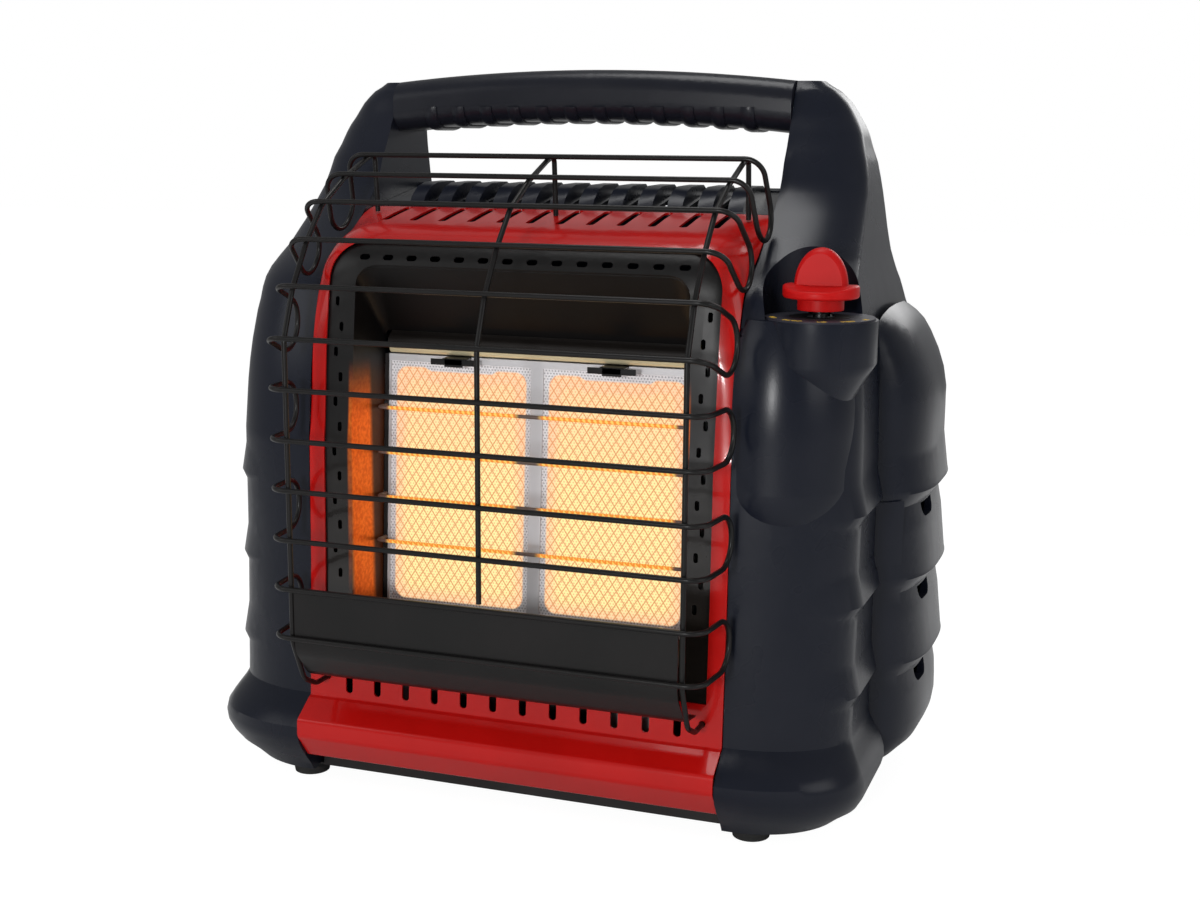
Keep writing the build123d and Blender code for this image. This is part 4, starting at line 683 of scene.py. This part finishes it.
class Look(Enum):
    """What the heater's pieces look like, each with its finish."""

    HOUSING = MouldedPlastic("housing_plastic", (0.0060, 0.0078, 0.0145), (0.0085, 0.0100, 0.0170))
    GRIP = MouldedPlastic("grip_plastic", (0.008, 0.009, 0.014), (0.011, 0.012, 0.017), 0.30)
    INNER = MouldedPlastic("inner_plastic", (0.015, 0.015, 0.016), grey(0.02), 0.5)
    SWITCH = MouldedPlastic("switch_plastic", grey(0.01), grey(0.013), 0.2)
    KNOB = MouldedPlastic(
        "knob_plastic", (0.50, 0.006, 0.006), (0.43, 0.005, 0.005), 0.40, specular=0.12
    )
    RED = Paint("red_paint", (0.46, 0.005, 0.004), (0.40, 0.004, 0.003), specular=0.2)
    ENAMEL = EnamelWithPaintedReflection("black_enamel")
    GUARD = Paint(
        "guard_black", grey(0.006), (0.009, 0.008, 0.008), 0.32, 1.5 * MM, specular=0.22, coat=0.0
    )
    PAN = Paint("pan_black", grey(0.012), grey(0.02), 0.45, coat=0.0)
    # Tile frame: bright steel between the tiles' outer edges, black beyond them as painted shade on
    # the side strips.
    TILE_FRAME = SteelBlackPastEdge(
        "tile_frame_steel",
        (0.66, 0.65, 0.67),
        (0.012, 0.010, 0.010),
        node="burner_tile_right",
        side=1,
        axis=0,
        fade=0.5 * MM,
    )
    BRIGHT = Metal("bright_steel", (0.72, 0.72, 0.73), (0.55, 0.55, 0.56), 0.25)
    # Reflector: bright brass-coloured steel in a strip at its lower edge, black above it.
    REFLECTOR = SteelBlackPastEdge(
        "reflector_steel",
        (0.80, 0.71, 0.46),
        (0.010, 0.008, 0.007),
        node="reflector",
        side=0,
        axis=2,
        past=4.4 * MM,
    )
    OILED = Metal("oiled_steel", grey(0.05), grey(0.03), 0.38)
    SHEET_STEEL = Metal("sheet_steel", (0.60, 0.60, 0.61), grey(0.42), 0.40, (0.1, 1.0, 1.0))
    MOTOR = Metal("motor_steel", (0.55, 0.55, 0.56), grey(0.45), 0.32, (1.0, 0.1, 1.0))
    BRASS = Metal("brass", (0.78, 0.56, 0.24), (0.60, 0.42, 0.17), 0.28)
    CAST = Metal("cast_alloy", grey(0.60), grey(0.44), 0.48, relief=0.12 * MM)
    PIPE = Metal("pipe_alloy", (0.74, 0.74, 0.75), (0.58, 0.58, 0.59), 0.30)
    ZINC = Metal(
        "regulator_zinc", (0.58, 0.59, 0.60), (0.40, 0.41, 0.42), 0.42, relief=0.10 * MM
    )
    ROD = HotRod("hot_rod")
    TILE_RIGHT = GlowingTile("ceramic_tile_right", "burner_tile_right")
    TILE_LEFT = GlowingTile("ceramic_tile_left", "burner_tile_left")
    PORCELAIN = Glaze("white_ceramic", (0.86, 0.85, 0.82), (0.76, 0.75, 0.70), 0.25)
    DIAL = MouldedPlastic("dial_black", (0.030, 0.030, 0.042), (0.036, 0.036, 0.048), 0.5)
    MARK_YELLOW = Glaze("dial_yellow", (0.72, 0.46, 0.03), (0.60, 0.38, 0.03), 0.5)
    MARK_WHITE = Glaze("mark_white", (0.78, 0.78, 0.76), (0.68, 0.68, 0.66), 0.5)
    RUBBER = Rubber("foot_rubber", grey(0.014))


# ---------------------------------------------------------------- modelling helpers
def only(piece: Piece) -> None:
    """Select one piece alone and make it active.

    Args:
        piece: Piece to select.
    """
    bpy.ops.object.select_all(action="DESELECT")
    piece.select_set(True)
    bpy.context.view_layer.objects.active = piece


def edit(on: bool = True) -> None:
    """Enter or leave edit mode.

    Args:
        on: Whether to enter it.
    """
    bpy.ops.object.mode_set(mode="EDIT" if on else "OBJECT")


def apply_modifiers(piece: Piece) -> None:
    """Apply every modifier of a piece.

    Args:
        piece: Piece to finish.
    """
    only(piece)
    for modifier in list(piece.modifiers):
        bpy.ops.object.modifier_apply(modifier=modifier.name)


def smooth(piece: Piece, crease: float) -> None:
    """Shade a piece smooth up to an angle and weight its normals by face.

    Args:
        piece: Piece to shade.
        crease: Angle in degrees above which an edge stays sharp.
    """
    only(piece)
    bpy.ops.object.shade_smooth_by_angle(angle=math.radians(crease))
    weighted = piece.modifiers.new("normals", "WEIGHTED_NORMAL")
    weighted.keep_sharp = True
    apply_modifiers(piece)


def choose(piece: Piece, kind: str, test: Callable[[Any], bool]) -> None:
    """Enter edit mode with the points or faces that pass a test selected.

    Args:
        piece: Piece to edit.
        kind: "VERT" or "FACE".
        test: Given a point or face of the mesh, says whether to select it.
    """
    only(piece)
    edit()
    bpy.ops.mesh.select_mode(type=kind)
    bpy.ops.mesh.select_all(action="DESELECT")
    edit(False)
    parts = piece.data.vertices if kind == "VERT" else piece.data.polygons
    for part in parts:
        part.select = test(part)
    edit()


def round_edges(piece: Piece, width: float, segments: int = 3) -> None:
    """Round a piece's sharp edges.

    Args:
        piece: Piece to round.
        width: Width of the rounding.
        segments: Faces across it.
    """
    bevel = piece.modifiers.new("rounding", "BEVEL")
    bevel.width = width
    bevel.segments = segments
    bevel.limit_method = "ANGLE"
    bevel.angle_limit = math.radians(40)
    apply_modifiers(piece)


def added(add: Callable[..., Any], **settings: Any) -> Piece:
    """Add a piece with an operator, selected alone.

    Args:
        add: Operator that adds the piece.
        settings: What the operator is told.

    Returns:
        The piece.
    """
    bpy.ops.object.select_all(action="DESELECT")
    add(**settings)
    return bpy.context.active_object


def weld(distance: float) -> None:
    """Merge the active piece's points that lie closer than a distance.

    Args:
        distance: The distance.
    """
    edit()
    bpy.ops.mesh.select_all(action="SELECT")
    bpy.ops.mesh.remove_doubles(threshold=distance)
    edit(False)


def cut_away(place: Sequence[float], facing: Sequence[float]) -> None:
    """Cut off what lies beyond a plane, in edit mode, and close the cut.

    Args:
        place: A point of the plane.
        facing: Direction of the side that goes.
    """
    bpy.ops.mesh.select_all(action="SELECT")
    bpy.ops.mesh.bisect(plane_co=place, plane_no=facing, use_fill=True, clear_outer=True)


def join(pieces: Sequence[Piece], main: Piece) -> Piece:
    """Make pieces one.

    Args:
        pieces: Pieces to join.
        main: The one that the others go into.

    Returns:
        The joined piece.
    """
    bpy.ops.object.select_all(action="DESELECT")
    for piece in pieces:
        piece.select_set(True)
    bpy.context.view_layer.objects.active = main
    bpy.ops.object.join()
    return bpy.context.active_object


def turned(radius: float, low: float, high: float) -> Piece:
    """Upright cylinder on the Z axis.

    Args:
        radius: Its radius.
        low: Height of its lower end.
        high: Height of its upper end.

    Returns:
        The piece.
    """
    cylinder = added(
        bpy.ops.mesh.primitive_cylinder_add,
        vertices=ROUND_SIDES,
        radius=radius,
        depth=high - low,
        location=(0.0, 0.0, (low + high) / 2),
    )
    bpy.ops.object.transform_apply()
    return cylinder


def flat_text(words: str, height: float, thickness: float) -> Piece:
    """Printed word lying flat, made a mesh, with its middle at the origin.

    Args:
        words: Word or figure to print.
        height: Height of the letters.
        thickness: Thickness of the print.

    Returns:
        The piece.
    """
    piece = added(bpy.ops.object.text_add)
    piece.data.body = words
    piece.data.size = height
    piece.data.extrude = thickness / 2
    piece.data.align_x = "CENTER"
    piece.data.align_y = "CENTER"
    bpy.ops.object.convert(target="MESH")
    weld(TEXT_WELD)
    return bpy.context.active_object


def set_place(piece: Piece, matrix: Matrix) -> None:
    """Move a piece, with its place kept in its mesh.

    Args:
        piece: Piece to move.
        matrix: Where it goes.
    """
    piece.data.transform(matrix)
    piece.data.update()


def upright(node: str) -> Matrix:
    """Move from the origin's upright axis to that of a solid.

    Args:
        node: Node of the solid.

    Returns:
        The move.
    """
    return Matrix.Translation((*middle(node)[:2], 0.0))


# ---------------------------------------------------------------- sub-assemblies
@dataclass
class SubAssembly:
    """Solids that are finished together.

    Attributes:
        palette: Materials by look.
        looks: Look of each node.
        crease: Angle in degrees above which edges stay sharp.
        word_height: Height of printed letters.
    """

    frame: Mapping[str, Any]
    palette: Mapping[Look, bpy.types.Material]
    looks: ClassVar[Mapping[str, Look]] = {}
    crease: float = 32.0
    word_height: float = 4.2 * MM

    def build(self) -> None:
        """Give each solid its skin, then add the small pieces."""
        made = [self.skin(node, look) for node, look in self.looks.items()]
        made += self.details()
        for piece in made:
            LOG.info("%s: %s, %d faces", type(self).__name__, piece.name, len(piece.data.polygons))

    def details(self) -> list[Piece]:
        """Small pieces beyond the solids."""
        return []

    def skin(self, node: str, look: Look) -> Piece:
        """Merged, smooth-shaded copy of a solid that stands for it.

        Args:
            node: Node to copy.
            look: Finish of the copy.

        Returns:
            The piece.
        """
        only(self.frame["nodes"][node])
        bpy.ops.object.duplicate()
        piece = bpy.context.active_object
        bpy.ops.mesh.customdata_custom_splitnormals_clear()
        weld(WELD)
        self.shape(piece, node)
        smooth(piece, self.crease)
        self.adopt(piece, f"{node}_skin", node, look)
        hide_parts(node)
        return piece

    def shape(self, piece: Piece, node: str) -> None:
        """Refine the form of a skin before it is shaded.

        Args:
            piece: The skin.
            node: Node that it stands for.
        """

    def adopt(self, piece: Piece, name: str, node: str, look: Look) -> Piece:
        """Give a new piece its name, finish and body.

        Args:
            piece: Piece to adopt.
            name: Its name.
            node: Node that it belongs with.
            look: Its finish.

        Returns:
            The piece.
        """
        piece.name = name
        piece.data.materials.clear()
        piece.data.materials.append(self.palette[look])
        record = self.frame["record"]
        bodies = record["behaviour"]["bodies"]
        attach(piece, next(body for body, nodes in bodies.items() if node in nodes))
        return piece

    def mark(self, word: str, prefix: str, node: str, look: Look, matrix: Matrix) -> Piece:
        """Printed word on a node.

        Args:
            word: What is printed.
            prefix: Start of the piece's name.
            node: Node that carries it.
            look: Finish of the print.
            matrix: Place and turn of the print's middle.

        Returns:
            The piece.
        """
        piece = flat_text(word, self.word_height, PRINT)
        set_place(piece, matrix)
        return self.adopt(piece, f"{prefix}_{word.lower()}", node, look)


@dataclass
class Cabinet(SubAssembly):
    """Side housings, doors, grip and top grille."""

    looks = {
        "right_housing": Look.HOUSING,
        "left_housing": Look.HOUSING,
        "right_door": Look.HOUSING,
        "left_door": Look.HOUSING,
        "right_door_latch": Look.HOUSING,
        "left_door_latch": Look.HOUSING,
        "door_hinge_pins": Look.BRIGHT,
        "carry_handle": Look.GRIP,
        "housing_screws": Look.BRIGHT,
        "top_grille": Look.HOUSING,
    }
    crown_from: float = 222 * MM
    crown_middle: float = 45 * MM
    crown_half: float = 90 * MM
    crown_share: float = 0.46
    shoulder_centre: Triple = (146.5 * MM, -52 * MM, 228 * MM)
    shoulder_half: Triple = (42 * MM, 46 * MM, 92 * MM)
    shoulder_belly: float = 40 * MM
    shoulder_side: float = 126.8 * MM
    shoulder_rear: Triple = (189 * MM, -46 * MM, 0.0)
    shoulder_top: float = 290.8 * MM
    shoulder_back: float = -84 * MM
    well_radius: float = 8.2 * MM

    def shape(self, piece: Piece, node: str) -> None:
        """Crown the doors, so that their upper edge falls away to the front and rear.

        Args:
            piece: The skin.
            node: Node that it stands for.
        """
        if node not in ("right_door", "left_door"):
            return
        for point in piece.data.vertices:
            rise = point.co.z - self.crown_from
            if rise > 0:
                off = abs(point.co.y - self.crown_middle) / self.crown_half
                point.co.z -= rise * self.crown_share * off**3
        piece.data.update()

    def details(self) -> list[Piece]:
        """Swell the housing's front below the knob shelf."""
        sphere = bpy.ops.mesh.primitive_uv_sphere_add
        shoulder = added(sphere, segments=128, ring_count=96, radius=1.0)
        shoulder.scale = self.shoulder_half
        bpy.ops.object.transform_apply()
        choose(shoulder, "VERT", lambda point: point.co.z < 0)
        bpy.ops.transform.resize(value=(1, 1, self.shoulder_belly / self.shoulder_half[2]))
        edit(False)
        set_place(shoulder, Matrix.Translation(self.shoulder_centre))
        edit()
        back = Vector((self.shoulder_side, self.shoulder_back, 0.0))
        chord = Vector(self.shoulder_rear) - back
        cuts = (
            ((0, 0, self.shoulder_top), (0, 0, 1)),
            (back, (-chord.y, chord.x, 0)),
            ((self.shoulder_side, 0, 0), (-1, 0, 0)),
        )
        for place, facing in cuts:
            cut_away(place, facing)
        edit(False)
        well_low = self.shoulder_centre[2] - self.shoulder_belly
        well = turned(self.well_radius, well_low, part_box("control_knob")[1][2])
        set_place(well, upright("control_knob"))
        bore = shoulder.modifiers.new("well", "BOOLEAN")
        bore.operation = "DIFFERENCE"
        bore.object = well
        apply_modifiers(shoulder)
        only(well)
        bpy.ops.object.delete()
        round_edges(shoulder, 0.6 * MM)
        smooth(shoulder, self.crease)
        return [self.adopt(shoulder, "knob_shoulder", "right_housing", Look.HOUSING)]


@dataclass
class FrontPanel(SubAssembly):
    """Red panel and the enamelled firebox behind its window."""

    looks = {"front_panel": Look.RED, "firebox": Look.ENAMEL}


@dataclass
class Burner(SubAssembly):
    """Tiles, their frame and screen rods, and the sheet-metal parts behind and above them."""

    looks = {
        "burner_tile_right": Look.TILE_RIGHT,
        "burner_tile_left": Look.TILE_LEFT,
        "tile_frame": Look.TILE_FRAME,
        "radiant_rods": Look.ROD,
        "reflector": Look.REFLECTOR,
        "burner_body": Look.SHEET_STEEL,
        "venturi_tube": Look.SHEET_STEEL,
        "gas_jet": Look.BRASS,
        "heat_shield": Look.SHEET_STEEL,
    }
    clip_width: float = 29 * MM
    clip_height: float = 3.6 * MM
    clip_sheet: float = 0.9 * MM

    def details(self) -> list[Piece]:
        """Bend the two clips that hold the tiles down."""
        return [self.clip("clip_right", 1), self.clip("clip_left", -1)]

    def clip(self, name: str, side: int) -> Piece:
        """Flat strip along a tile's top edge, with its tongue turned back over the frame.

        Args:
            name: Name of the piece.
            side: 1 for the right tile and -1 for the left one.

        Returns:
            The piece.
        """
        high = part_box("tile_clips")[1]
        tile_low, tile_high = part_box("burner_tile_right")
        across = side * (tile_low[0] + tile_high[0]) / 2
        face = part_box("tile_frame")[0][1] - self.clip_sheet
        top = high[2] - self.clip_sheet
        sheet, wide, tall = self.clip_sheet, self.clip_width, self.clip_height
        boxes = (
            ((wide, sheet, tall), (across, face, top - tall / 2)),
            ((wide * 0.4, sheet, 1.3 * tall), (across, face, top - 0.65 * tall)),
            ((wide * 0.5, high[1] - face, sheet), (across, (face + high[1]) / 2, top)),
        )
        pieces = []
        for size, place in boxes:
            cube = bpy.ops.mesh.primitive_cube_add
            pieces.append(added(cube, size=1.0, location=place, scale=size))
            bpy.ops.object.transform_apply()
        clip = join(pieces, pieces[-1])
        round_edges(clip, 0.3 * MM, 2)
        smooth(clip, self.crease)
        self.adopt(clip, name, "tile_clips", Look.GUARD)
        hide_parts("tile_clips")
        return clip


@dataclass
class PilotGroup(SubAssembly):
    """Pilot burner with its flame sensor and spark electrode."""

    looks = {
        "pilot_bracket": Look.SHEET_STEEL,
        "pilot_burner": Look.BRIGHT,
        "thermocouple": Look.BRIGHT,
        "igniter_electrode": Look.PORCELAIN,
    }


@dataclass
class WireGuard(SubAssembly):
    """Wire guard and the plate across its foot."""

    looks = {
        "guard_rings": Look.GUARD,
        "guard_uprights": Look.GUARD,
        "guard_plate": Look.GUARD,
    }
    crease: float = 50.0


@dataclass
class GasTrain(SubAssembly):
    """Knob, valve, regulators and the pipes between them.

    Attributes:
        settings: Words on the dial, with the angle of each in degrees round from the front.
    """

    looks = {
        "dial_plate": Look.DIAL,
        "push_collar": Look.OILED,
        "knob_spring": Look.OILED,
        "valve_stem": Look.OILED,
        "gas_valve": Look.CAST,
        "piezo_igniter": Look.INNER,
        "right_swivel_fitting": Look.BRASS,
        "left_swivel_fitting": Look.BRASS,
        "right_regulator": Look.ZINC,
        "left_regulator": Look.ZINC,
        "manifold_tee": Look.BRASS,
        "right_fuel_pipe": Look.PIPE,
        "left_fuel_pipe": Look.PIPE,
        "feed_pipe": Look.PIPE,
        "burner_pipe": Look.PIPE,
        "pilot_tube": Look.PIPE,
        "tip_switch": Look.INNER,
    }
    settings: Sequence[tuple[str, float]] = (
        ("OFF", -62.0),
        ("PILOT", -22.0),
        ("LO", 14.0),
        ("MED", 46.0),
        ("HI", 78.0),
    )
    neck_radius: float = 12.5 * MM
    pocket_radius: float = 7.8 * MM
    knob_clearance: float = 0.6 * MM
    ring_radius: float = 16.5 * MM
    ring_thick: float = 0.25 * MM
    flange_lift: float = 6.6 * MM
    flange_thick: float = 7.0 * MM
    flange_dip: float = 2.4 * MM
    bar_half_length: float = 14.6 * MM
    bar_half_width: float = 5.2 * MM
    bar_fullness: float = 1.9
    sunk: float = 1 * MM
    rim_insets: tuple[float, ...] = (3 * MM, 4 * MM, 4 * MM)
    dip_steps: int = 6
    knob_crease: float = 40.0

    def details(self) -> list[Piece]:
        """Model the knob and print the settings round its dial."""
        self.shorten_spring()
        return [self.knob(), self.dial_ring()] + self.dial_words()

    def shorten_spring(self) -> None:
        """Give the knob's spring skin a mesh of its own."""
        spring = bpy.data.objects["knob_spring_skin"]
        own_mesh(spring)

    def dial_ring(self) -> Piece:
        """Black ring round the knob's neck, thinned to a bevel at both rims."""
        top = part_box("dial_plate")[1][2]
        ring = turned(self.ring_radius, top, top + self.ring_thick)
        choose(ring, "FACE", lambda face: abs(face.normal.z) > FACING)
        bpy.ops.mesh.inset(thickness=self.ring_radius - self.pocket_radius)
        bpy.ops.mesh.bridge_edge_loops()
        edit(False)
        round_edges(ring, 0.1 * MM, 2)
        smooth(ring, self.crease)
        set_place(ring, upright("control_knob"))
        return self.adopt(ring, "dial_ring", "dial_plate", Look.INNER)

    def knob(self) -> Piece:
        """Push-and-turn knob: neck with a pocket, saddle-shaped flange and domed finger bar."""
        low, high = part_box("control_knob")
        radius = (high[0] - low[0]) / 2
        flange_low = low[2] + self.flange_lift
        flange_top = flange_low + self.flange_thick
        neck = turned(self.neck_radius, low[2], flange_low + self.sunk)
        choose(neck, "FACE", lambda face: face.normal.z < -FACING)
        bpy.ops.mesh.inset(thickness=self.neck_radius - self.pocket_radius)
        pocket = {"value": (0, 0, self.flange_lift)}
        bpy.ops.mesh.extrude_region_move(TRANSFORM_OT_translate=pocket)
        edit(False)
        round_edges(neck, 0.5 * MM, 2)
        flange = turned(radius, flange_low, flange_top)
        choose(flange, "FACE", lambda face: abs(face.normal.z) > FACING)
        for width in self.rim_insets:
            bpy.ops.mesh.inset(thickness=width)
        edit(False)
        round_edges(flange, 1.5 * MM, 4)
        upper = flange_low + 3 * MM
        for step in range(self.dip_steps):
            reach = radius * (0.3 + 0.6 * step / self.dip_steps)
            choose(flange, "VERT", lambda p: abs(p.co.y) > reach and p.co.z > upper)
            bpy.ops.transform.translate(value=(0, 0, -self.flange_dip / self.dip_steps))
            edit(False)
        bar = self.finger_bar(flange_top, high[2])
        knob = join((neck, flange, bar), flange)
        smooth(knob, self.knob_crease)
        set_place(knob, upright("control_knob"))
        self.adopt(knob, "knob_detailed", "control_knob", Look.KNOB)
        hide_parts("control_knob")
        return knob

    def finger_bar(self, base: float, top: float) -> Piece:
        """Domed bar that the fingers turn, flat on both sides.

        Args:
            base: Height of the flange under it.
            top: Height of its crown.

        Returns:
            The piece.
        """
        bar = added(bpy.ops.mesh.primitive_uv_sphere_add, segments=64, ring_count=32, radius=1.0)
        edit()
        bpy.ops.mesh.select_all(action="SELECT")
        depth = self.bar_half_width * self.bar_fullness
        rise = top - base + self.sunk
        bpy.ops.transform.resize(value=(self.bar_half_length, depth, rise))
        bpy.ops.transform.translate(value=(0, 0, base - self.sunk))
        for side in (1, -1):
            cut_away((0, side * self.bar_half_width, 0), (0, side, 0))
        cut_away((0, 0, base - 3 * MM), (0, 0, -1))
        bpy.ops.mesh.select_all(action="SELECT")
        bpy.ops.mesh.normals_make_consistent(inside=False)
        edit(False)
        round_edges(bar, 0.8 * MM)
        return bar

    def dial_words(self) -> list[Piece]:
        """Print the settings round the dial."""
        low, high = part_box("dial_plate")
        axis_x, axis_y, _ = middle("control_knob")
        reach = min(high[0] - axis_x, axis_y - low[1]) - 0.75 * self.word_height
        made = []
        for word, angle in self.settings:
            turn = Matrix.Rotation(math.radians(angle), 4, "Z")
            spot = Matrix.Translation((axis_x, axis_y, high[2] + PRINT_LIFT)) @ turn
            spot = spot @ Matrix.Translation((0, -reach, 0))
            made.append(self.mark(word, "dial", "dial_plate", Look.MARK_YELLOW, spot))
        return made


@dataclass
class Base(SubAssembly):
    """Bottom pan and feet."""

    looks = {"base_pan": Look.PAN, "feet": Look.RUBBER}


@dataclass
class RearFan(SubAssembly):
    """Rear cover with the fan, its switch and jack, and the battery compartment."""

    looks = {
        "rear_cover": Look.HOUSING,
        "switch_body": Look.INNER,
        "fan_switch": Look.SWITCH,
        "adapter_jack": Look.INNER,
        "battery_box": Look.INNER,
        "battery_contacts": Look.BRIGHT,
        "battery_door": Look.HOUSING,
        "battery_pin": Look.BRIGHT,
        "fan_shroud": Look.INNER,
        "fan_motor": Look.MOTOR,
        "fan_rotor": Look.INNER,
    }
    word_height: float = 5.0 * MM
    word_gap: float = 5 * MM
    cover_face: float = 141.4 * MM

    def details(self) -> list[Piece]:
        """Print ON and OFF beside the fan's switch."""
        low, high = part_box("switch_body")
        facing = Matrix.Rotation(math.pi, 4, "Z") @ Matrix.Rotation(math.pi / 2, 4, "X")
        made = []
        y = self.cover_face + PRINT_LIFT
        for word, z in (("ON", high[2] + self.word_gap), ("OFF", low[2] - self.word_gap)):
            spot = Matrix.Translation((middle("switch_body")[0], y, z)) @ facing
            made.append(self.mark(word, "switch", "rear_cover", Look.MARK_WHITE, spot))
        return made


# ---------------------------------------------------------------- studio
@dataclass(frozen=True)
class Viewpoint:
    """Camera that stands a little to the right of the heater and above it."""

    position: Triple = (0.35615, -0.93427, 0.38800)
    yaw: float = 19.83
    pitch: float = 10.84
    roll: float = 0.36
    lens: float = 49.70
    sensor: float = 36.0

    def build(self) -> None:
        """Make the camera and use it."""
        yaw, pitch, roll = (math.radians(angle) for angle in (self.yaw, self.pitch, self.roll))
        level = math.cos(pitch)
        forward = Vector((-math.sin(yaw) * level, math.cos(yaw) * level, -math.sin(pitch)))
        right = Vector((math.cos(yaw), math.sin(yaw), 0.0))
        up = right.cross(forward)
        level_right = math.cos(roll) * right + math.sin(roll) * up
        level_up = math.cos(roll) * up - math.sin(roll) * right
        turn = Matrix((level_right, level_up, -forward)).transposed().to_4x4()
        data = bpy.data.cameras.new("camera")
        data.lens = self.lens
        data.sensor_width = self.sensor
        data.sensor_fit = "HORIZONTAL"
        data.clip_start = 0.01
        camera = bpy.data.objects.new("camera", data)
        camera.matrix_world = Matrix.Translation(self.position) @ turn
        bpy.context.scene.collection.objects.link(camera)
        bpy.context.scene.camera = camera


@dataclass(frozen=True)
class Softbox:
    """Square studio lamp aimed at the heater."""

    name: str
    position: Triple
    width: float
    power: float
    aim: Triple = (0.0, 0.0, 0.2)

    def build(self) -> None:
        """Make the lamp."""
        data = bpy.data.lights.new(self.name, "AREA")
        data.shape = "RECTANGLE"
        data.size = self.width
        data.size_y = self.width
        data.energy = self.power
        lamp = bpy.data.objects.new(self.name, data)
        lamp.location = self.position
        toward = Vector(self.aim) - Vector(self.position)
        lamp.rotation_euler = toward.to_track_quat("-Z", "Y").to_euler()
        bpy.context.scene.collection.objects.link(lamp)


@dataclass(frozen=True)
class Studio:
    """White floor, white surroundings and soft lamps."""

    floor_half: float = 6.0
    world_light: float = 0.32
    whiteness: float = 0.80
    floor_glow: float = 1.19

    def build(self) -> None:
        """Make the floor, the surroundings and the lamps."""
        self.build_floor()
        self.build_world()
        for lamp in (
            Softbox("key_lamp", (0.05, -1.5, 0.42), 0.18, 9.0),
            Softbox("fill_lamp", (-1.2, -1.0, 0.9), 0.9, 4.0),
            Softbox("side_lamp", (1.4, -0.5, 0.7), 0.8, 4.0),
            Softbox("top_lamp", (-0.1, 0.1, 1.6), 0.6, 7.0),
            Softbox("rear_lamp", (0.5, 1.5, 1.0), 0.9, 8.0),
        ):
            lamp.build()

    def build_floor(self) -> None:
        """Pale floor that keeps a soft shadow."""
        floor = added(bpy.ops.mesh.primitive_plane_add, size=2 * self.floor_half)
        floor.name = "floor"
        sheet = Sheet("floor_white")
        seen = self.seen(sheet)
        sheet.set(Base_Color=(0.86, 0.86, 0.86), Roughness=0.9, Specular_IOR_Level=0.0)
        lit = {"Color": (1.0, 1.0, 1.0), "Strength": self.floor_glow}
        white = sheet.node("ShaderNodeEmission", sockets=lit)
        shader = Signal(sheet, sheet.shader.outputs[0])
        sockets = {0: seen * self.whiteness, 1: shader, 2: white}
        blend = sheet.node("ShaderNodeMixShader", sockets=sockets)
        sheet.tree.links.new(blend.socket, sheet.output.inputs[0])
        floor.data.materials.append(sheet.material)

    def seen(self, graph: Graph) -> Signal:
        """1 for rays from the camera or through glass, and 0 for the rest.

        Args:
            graph: Node tree to add the node to.

        Returns:
            The value.
        """
        camera = graph.node("ShaderNodeLightPath")
        through = Signal(graph, camera.socket.node.outputs["Is Transmission Ray"])
        return (camera + through).maths("MINIMUM", 1.0)

    def build_world(self) -> None:
        """White surroundings that light the heater gently."""
        world = bpy.data.worlds.new("surroundings")
        bpy.context.scene.world = world
        world.use_nodes = True
        graph = Graph(world.node_tree)
        background = next(node for node in graph.tree.nodes if node.type == "BACKGROUND")
        background.inputs[0].default_value = (1.0, 1.0, 1.0, 1.0)
        strength = self.seen(graph) * (1.0 - self.world_light) + self.world_light
        graph.feed(background.inputs[1], strength)


def main() -> None:
    """Build the heater's looks, then the studio."""
    logging.basicConfig(level=logging.INFO, format="%(message)s")
    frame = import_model()
    bpy.context.scene.view_settings.view_transform = "Standard"
    palette = {look: look.value.build() for look in Look}
    for kind in (Cabinet, FrontPanel, Burner, PilotGroup, WireGuard, GasTrain, Base, RearFan):
        kind(frame, palette).build()
    Studio().build()
    Viewpoint().build()
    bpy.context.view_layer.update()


if __name__ == "__main__":
    main()
